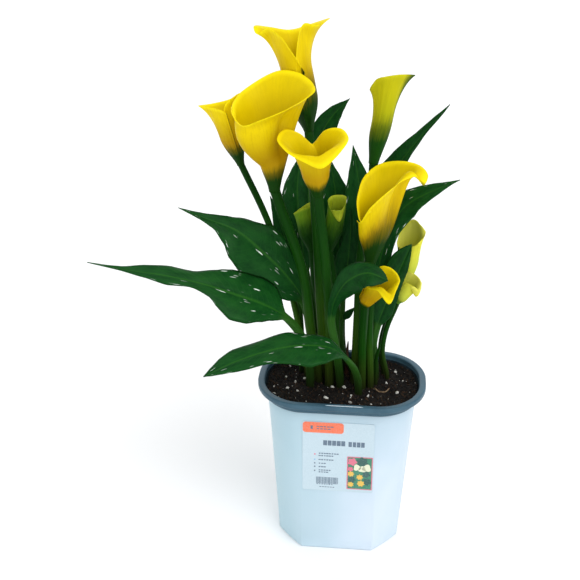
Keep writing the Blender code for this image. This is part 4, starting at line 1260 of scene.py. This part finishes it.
# Lengths in millimetres. stalk and blade are the points a leaf grows through, and faces is where
# its upper side looks at the neck and at the tip. edges gives its reach to either side at shares of
# the blade; a leaf with a width has even edges. fold is how far its halves tilt up, in degrees, and
# wave how far they ripple.
LEAF_LENGTHS = ("foot", "stalk", "blade", "width", "radius", "wave")
LEAVES = {
    "far_left": {
        "foot": (-32, 2), "stalk": [(-35, -3, 42), (-44, -8, 66)],
        "blade": [
            (-56, -14, 83), (-77, -22, 99), (-100, -30, 111), (-129, -38, 124), (-164, -42, 133),
            (-200, -46, 139), (-234, -50, 147),
        ],
        "faces": ((0.1, -0.4, 0.9), (0.0, -0.6, 0.8)),
        "edges": [
            (0, 6, 5), (0.04, 20, 9), (0.09, 30, 13), (0.16, 33, 21), (0.26, 32, 29), (0.35, 28, 29),
            (0.41, 23, 21), (0.46, 18.5, 12), (0.55, 12.5, 7.5), (0.65, 12.5, 9), (0.75, 8, 4.5),
            (0.85, 3, 2.2), (0.93, 1.4, 1.2), (1, 0.3, 0.3),
        ],
        "fold": 9, "radius": 4.2, "wave": 2, "flecks": True,
    },
    "upper_left": {
        "foot": (-29, 31), "stalk": [(-35, 28, 48)],
        "blade": [
            (-41, 26, 82), (-57, 22, 109), (-81, 18, 136), (-106, 12, 160), (-131, 8, 171),
            (-158, 2, 184),
        ],
        "faces": ((0.2, -0.8, 0.5), (0.2, -0.7, 0.6)),
        "edges": [
            (0, 4, 6), (0.08, 8, 16), (0.16, 13, 23), (0.25, 19, 27), (0.35, 25, 30), (0.44, 25, 31),
            (0.55, 17, 27.5), (0.65, 10.5, 17), (0.75, 7, 7), (0.85, 4, 3.6), (0.93, 1.8, 1.8),
            (1, 0.3, 0.3),
        ],
        "fold": 11, "radius": 4, "wave": 1.8, "flecks": True,
    },
    "low_left": {
        "foot": (17, -9), "stalk": [(15, -14, 22)],
        "blade": [
            (6, -25, 46), (-11, -36, 63), (-38, -46, 69), (-67, -56, 67), (-97, -62, 57),
            (-127, -66, 42),
        ],
        "faces": ((-0.1, -0.3, 0.9), (-0.1, -0.5, 0.8)),
        "edges": [
            (0, 3.6, 3.6), (0.08, 8, 6), (0.17, 13.5, 14), (0.27, 16.5, 23.5), (0.36, 17, 26.5),
            (0.45, 17.5, 22.5), (0.54, 16, 19), (0.63, 15, 15.5), (0.72, 14.5, 13), (0.80, 14, 10.5),
            (0.88, 10.5, 7.3), (0.94, 6, 4.5), (1, 0.5, 0.5),
        ],
        "fold": 9, "radius": 3.8, "wave": 1.6, "flecks": True,
    },
    "front_right": {
        "foot": (-2, 4), "stalk": [(-6, -8, 46)],
        "blade": [(-11, -15, 84), (-7, -24, 109), (6, -34, 133), (24, -42, 144), (41, -46, 139)],
        "faces": ((0.2, -0.9, 0.3), (0.1, -0.6, 0.8)),
        "edges": [
            (0, 4, 4), (0.12, 5, 4.5), (0.25, 8, 5.5), (0.38, 12, 8), (0.50, 14, 11.5),
            (0.62, 15, 12.5), (0.75, 15.5, 10.5), (0.86, 12.5, 8), (0.94, 7, 5), (1, 0.4, 0.4),
        ],
        "fold": 12, "radius": 4, "wave": 1.2, "flecks": False,
    },
    "centre_back": {
        "foot": (12, 37), "stalk": [(13, 48, 41)],
        "blade": [(14, 60, 86), (17, 66, 138), (10, 69, 184), (2, 72, 229)],
        "faces": ((0.1, -1.0, 0.1), (0.0, -0.9, 0.4)),
        "width": 46, "fold": 14, "radius": 3.8, "wave": 1.8, "flecks": True,
    },
    "upper_right": {
        "foot": (22, 27), "stalk": [(21, 36, 58), (23, 48, 130)],
        "blade": [(29, 56, 174), (44, 60, 209), (66, 63, 241), (92, 66, 273)],
        "faces": ((-0.3, -0.9, 0.3), (-0.3, -0.8, 0.5)),
        "edges": [
            (0, 3.8, 3.8), (0.10, 7, 8), (0.20, 9.5, 13.5), (0.30, 9, 15), (0.42, 6.2, 12.2),
            (0.55, 3.5, 9.2), (0.70, 2.2, 6), (0.83, 2.2, 3.4), (0.93, 1.5, 1.4), (1, 0.3, 0.3),
        ],
        "fold": 15, "radius": 3.8, "wave": 1, "flecks": False,
    },
    "right": {
        "foot": (33, 23), "stalk": [(29, 25, 47)],
        "blade": [(30, 27, 103), (37, 29, 145), (53.5, 29, 182), (79.5, 23, 202), (103, 18, 215)],
        "faces": ((-0.2, -0.9, 0.4), (-0.2, -0.7, 0.7)),
        "edges": [
            (0, 3.8, 3.8), (0.08, 7, 8), (0.18, 10, 11.5), (0.32, 9.5, 10.5), (0.44, 12.5, 13),
            (0.54, 14, 14.5), (0.65, 10.5, 10.5), (0.75, 6.6, 6.6), (0.86, 3.6, 3.6), (0.94, 1.6, 1.6),
            (1, 0.3, 0.3),
        ],
        "fold": 12, "radius": 3.7, "wave": 1.4, "flecks": True,
    },
    "low_right": {
        "foot": (25, 14), "stalk": [(29, 16, 35)],
        "blade": [(33, 17, 63), (41, 17, 90), (50, 17, 117), (62, 16, 150)],
        "faces": ((0.1, -1.0, 0.0), (-0.1, -0.9, 0.2)),
        "edges": [
            (0, 4, 4), (0.08, 8, 8), (0.18, 10.5, 10.5), (0.35, 9.5, 12), (0.55, 8.3, 14),
            (0.75, 7.6, 15), (0.86, 5.2, 11.8), (0.94, 2.8, 7), (1, 0.3, 0.6),
        ],
        "fold": 16, "radius": 3.4, "wave": 1, "flecks": False,
    },
    "top_back": {
        "foot": (-22, 40), "stalk": [(-24, 48, 50), (-33, 58, 134)],
        "blade": [(-37, 64, 205), (-28, 68, 242), (-15, 70, 262), (-2, 72, 275)],
        "faces": ((0.1, -1.0, 0.2), (-0.1, -0.9, 0.4)),
        "width": 22, "fold": 14, "radius": 3.3, "wave": 0.8, "flecks": False,
    },
    "left_back": {
        "foot": (-33, 40), "stalk": [(-32, 50, 49)],
        "blade": [(-42, 62, 99), (-49, 68, 146), (-52, 71, 187), (-48, 74, 222)],
        "faces": ((0.0, -1.0, 0.1), (0.0, -0.9, 0.3)),
        "width": 40, "fold": 14, "radius": 3.8, "wave": 1.5, "flecks": True,
    },
    "high_back": {
        "foot": (-11, 40), "stalk": [(-10, 52, 50)],
        "blade": [(-9, 66, 101), (-12, 74, 147), (-15, 78, 181), (-21, 81, 213)],
        "faces": ((0.0, -1.0, 0.1), (0.1, -0.9, 0.3)),
        "width": 38, "fold": 14, "radius": 3.6, "wave": 1.2, "flecks": True,
    },
    "spear": {
        "foot": (-43, 30), "stalk": [(-45, 40, 49)],
        "blade": [(-53, 52, 103), (-65, 56, 143), (-78, 57, 180)],
        "faces": ((0.1, -1.0, 0.2), (0.2, -0.9, 0.3)),
        "width": 20, "fold": 20, "radius": 2.8, "wave": 0.8, "flecks": False,
    },
    "mid_back": {
        "foot": (1, 39), "stalk": [(-3, 46, 35)],
        "blade": [(-3, 52, 72), (0, 55, 106), (2, 56, 135), (3, 54, 172)],
        "faces": ((0.0, -1.0, 0.1), (0.0, -0.9, 0.3)),
        "width": 26, "fold": 16, "radius": 3.2, "wave": 1, "flecks": False,
    },
    "young": {
        "foot": (9, 26), "stalk": [(-2, 28, 33)],
        "blade": [(-1, 31, 60), (10, 33, 74)],
        "faces": ((0.0, -1.0, 0.1), (0.0, -0.9, 0.4)),
        "width": 8, "fold": 24, "radius": 2.2, "wave": 0.3, "flecks": False,
    },
}
for leaf in LEAVES.values():
    leaf.update({part: metres(leaf[part]) for part in LEAF_LENGTHS if part in leaf})
    if "edges" in leaf:
        leaf["edges"] = [(place, *metres(reach)) for place, *reach in leaf["edges"]]


def leaf_finish(name, dark, light, rib, roughness, flecked, vein_strength):
    """Leaf tissue: darker and lighter green, a pale midrib, curved side veins and flecks."""
    made, tree, shader, where = surface(name, roughness, 0.10)
    blade = add(tree, "ShaderNodeUVMap", uv_map="blade").outputs[0]
    parts = axes(tree, blade)
    off_rib = sums(tree, "ABSOLUTE", sums(tree, "MULTIPLY_ADD", parts[0], 2.0, -1.0))
    along = parts[1]
    cloud = grain(tree, blade, 3.0, 3.0, 0.55, (1.6, 3.0, 1))
    tint = mixed(tree, ramp(tree, cloud, [(0.30, 0.0), (0.72, 1.0)]), dark, light)
    bend = sums(tree, "MULTIPLY", sums(tree, "POWER", off_rib, 1.3), -0.13)
    phase = sums(tree, "MULTIPLY", sums(tree, "ADD", along, bend), 26 * math.tau)
    wobble = sums(tree, "MULTIPLY", grain(tree, blade, 9.0, 2.0, 0.5, (1, 1, 1)), 5.0)
    veins = sums(tree, "SINE", sums(tree, "ADD", phase, wobble))
    lines = ramp(tree, veins, [(0.72, 0.0), (0.98, vein_strength)])
    tint = mixed(tree, lines, tint, light)
    tint = mixed(tree, ramp(tree, off_rib, [(0.015, 0.75), (0.075, 0.0)]), tint, rib)
    tint = mixed(tree, ramp(tree, off_rib, [(0.955, 0.0), (1.0, 0.5)]), tint, rib)
    stalk_part = ramp(tree, along, [(0.0, 1.0), (0.05, 0.0)])
    tint = mixed(tree, stalk_part, tint, (0.020, 0.090, 0.008))
    if flecked:
        cells = add(tree, "ShaderNodeMapping", {"Vector": blade, "Scale": (24.0, 13.0, 1.0)})
        spots = add(tree, "ShaderNodeTexVoronoi", {
            "Vector": cells.outputs[0], "Scale": 1.0, "Randomness": 1.0,
        }, feature="F1")
        shape = ramp(tree, spots.outputs["Distance"], [(0.20, 1.0), (0.30, 0.0)])
        chosen = ramp(tree, axes(tree, spots.outputs["Color"])[0], [(0.70, 0.0), (0.73, 1.0)])
        patch = ramp(tree, grain(tree, blade, 4.5, 1.0, 0.5), [(0.46, 0.0), (0.54, 1.0)])
        fleck = sums(tree, "MULTIPLY", sums(tree, "MULTIPLY", shape, chosen), patch)
        on_blade = ramp(tree, along, [(0.06, 0.0), (0.12, 1.0)])
        tint = mixed(tree, sums(tree, "MULTIPLY", fleck, on_blade), tint, (0.82, 0.93, 0.84))
    coloured(tree, shader, earthy_and_shaded_foot(tree, where, tint))
    height = sums(tree, "ADD", sums(tree, "MULTIPLY", lines, 0.7), cloud)
    dented(tree, shader, height, 0.35, 0.0012)
    return made


flecked_leaf = leaf_finish("leaf_green_flecked", (0.0015, 0.042, 0.006), (0.009, 0.082, 0.011),
                           (0.022, 0.120, 0.012), 0.44, True, 0.30)
plain_leaf = leaf_finish("leaf_green_plain", (0.0008, 0.030, 0.004), (0.005, 0.062, 0.007),
                         (0.018, 0.100, 0.008), 0.44, False, 0.30)
leaf_under = leaf_finish("leaf_green_underside", (0.010, 0.070, 0.026), (0.026, 0.110, 0.036),
                         (0.050, 0.150, 0.040), 0.52, False, 0.45)


def between(stations, along):
    """Values at a place between stations, each a place and then its values."""
    for (start, *first), (end, *second) in zip(stations, stations[1:]):
        if along <= end:
            share = (along - start) / (end - start)
            soft = 0.35 * eased(share) + 0.65 * share
            return [a + (b - a) * soft for a, b in zip(first, second)]
    return list(stations[-1][1:])


def tangents(path):
    """The direction of a path at each of its points."""
    ends = [path[0], *path, path[-1]]
    return [(after - before).normalized() for before, after in zip(ends, ends[2:])]


def leaf_mesh(name, leaf):
    """A stalk that opens into a blade: upper side and underside meet in a thin margin."""
    way = [(*leaf["foot"], -STALK_DEPTH), (*leaf["foot"], 0), *leaf["stalk"]]
    path = curve_through([in_pot(point) for point in way + leaf["blade"]], PATH_STEPS)
    neck = PATH_STEPS * len(way)
    last = len(path) - 1
    faces = [Vector(face) for face in leaf["faces"]]
    lift = math.tan(math.radians(leaf["fold"]))
    edges = leaf.get("edges") or [
        (place, share * leaf["width"] / 2, share * leaf["width"] / 2) for place, share in EVEN_EDGES
    ]
    sides = 2 * BLADE_ACROSS
    phase = 7.0 * leaf["foot"][0] / 0.03
    rings = []
    for i, (point, direction) in enumerate(zip(path, tangents(path))):
        along = max(i - neck, 0) / (last - neck)
        opened = eased((i - neck + OPEN_BEFORE_NECK) / OPENING_ROWS)
        rib = leaf["radius"] * (1 - RIB_TAPER * along ** 0.7)
        face = faces[0].lerp(faces[1], along)
        side = direction.cross(face).normalized()
        face = side.cross(direction)
        plus, minus = between(edges, along)
        half = max(plus, minus)
        ring = []
        for k in range(sides):
            turn = math.tau * k / sides
            upper = k <= BLADE_ACROSS
            a = 1 - 2 * k / BLADE_ACROSS if upper else 2 * (k - BLADE_ACROSS) / BLADE_ACROSS - 1
            across = a * (plus if a > 0 else minus)
            up = lift * abs(across) - BLADE_CUP * half * a * a
            ripple = math.sin(RIPPLES * along + phase + (1.9 if a > 0 else 0)) * math.sin(math.pi * along)
            up += leaf["wave"] * ripple * abs(a) ** 2.2
            body = BLADE_WALL / 2 * math.sqrt(max(1 - a * a, 0))
            if upper:
                up += body - MIDRIB_SINK * math.exp(-(across / 0.0011) ** 2)
            else:
                up -= body + (rib * 0.85) * math.exp(-(across / (rib * 0.8 + 0.0004)) ** 2)
            groove = STALK_GROOVE * math.exp(-((turn - math.pi / 2) / 0.5) ** 2)
            round_x, round_y = rib * math.cos(turn), rib * math.sin(turn) * (1 - groove)
            x = round_x * (1 - opened) + across * opened
            y = round_y * (1 - opened) + up * opened
            ring.append(point + side * x + face * y)
        rings.append(ring)
    bm = bmesh.new()
    blade = bm.loops.layers.uv.new("blade")
    rows = [[bm.verts.new(point) for point in ring] for ring in rings]

    def place(row, k):
        """Where a point lies on the flat blade: across it, and up it from the neck."""
        share = (k % sides) / BLADE_ACROSS
        across = 1 - share if share <= 1 else share - 1
        up_blade = (row - neck) / (last - neck) if row >= neck else (row - neck) / neck
        return across, max(up_blade, 0.0)

    for row in range(last):
        for k in range(sides):
            corners = ((row, k), (row, k + 1), (row + 1, k + 1), (row + 1, k))
            face = bm.faces.new([rows[i][j % sides] for i, j in corners])
            face.smooth = True
            face.material_index = 0 if k < BLADE_ACROSS else 1
            for loop, (i, j) in zip(face.loops, corners):
                loop[blade].uv = place(i, j)
    for cap, end in ((rows[0], 0), (rows[-1], last)):
        face = bm.faces.new(cap)
        for loop in face.loops:
            loop[blade].uv = (0.5, 0.0 if end == 0 else 1.0)
    bmesh.ops.recalc_face_normals(bm, faces=bm.faces)
    mesh = bpy.data.meshes.new(name)
    bm.to_mesh(mesh)
    bm.free()
    return mesh


for name, leaf in LEAVES.items():
    top = flecked_leaf if leaf["flecks"] else plain_leaf
    piece = made_object(f"{name}_leaf", leaf_mesh(f"{name}_leaf", leaf), top, leaf_under)
    fitted(piece, "leaf", f"leaf_{name}")


# Spikes at the soil: a reddish new shoot and a green sheath, each a tapering roll of young
# tissue that comes straight up out of the peat between the stalks.

shoot_red = speckled(
    "shoot_red", 0.5, 0.4, (260.0, 4.0, 0.6, (1, 1, 0.3)),
    [(0.3, (0.050, 0.018, 0.012)), (0.7, (0.150, 0.070, 0.035))], (0.4, 0.0006),
)
SPIKES = {
    "shoot": ((0.003, 0.031), [(0.003, 0.031, 0.020), (0.004, 0.031, 0.036)], 0.0021, "shoot", shoot_red),
    "sheath": ((0.033, 0.013), [(0.033, 0.010, 0.028), (0.037, 0.006, 0.050)], 0.0024, "leaf", stalk_green),
}
for name, (foot, points, radius, slot_name, finish) in SPIKES.items():
    path = curve_through([in_pot(p) for p in ((*foot, -STALK_DEPTH), (*foot, 0), *points)], 8)
    last = len(path) - 1
    girths = [radius * math.sqrt(1 - 0.97 * (i / last) ** 2.2) for i in range(last + 1)]
    fitted(stalk(f"{name}_spike", path, girths, finish, 5.0, 0.06), slot_name, name)


# Root end: a loose tan root, thin and dry, that curls out of the peat in front of the small
# stalks. Both of its ends go back into the peat.

ROOT_GIRTH = 0.0006
ROOT_SUNK = 0.004
root_tan = speckled(
    "root_tan", 0.8, 0.2, (400.0, 3.0), [(0.3, (0.12, 0.075, 0.040)), (0.7, (0.30, 0.21, 0.13))]
)
ROOT_END = ((0.031, 0.004), (0.033, 0.000), (0.037, -0.006), (0.043, -0.006), (0.047, 0.001), (0.046, 0.005))
path = []
for index, (x, y) in enumerate(ROOT_END):
    sunk = ROOT_SUNK if index in (0, len(ROOT_END) - 1) else 0.0
    path.append(Vector((x, y, SOIL_TOP + ROOT_GIRTH - sunk)))
path = curve_through(path, 6)
fitted(stalk("root_end", path, [ROOT_GIRTH] * len(path), root_tan, 3.0, 0.05), "soil")
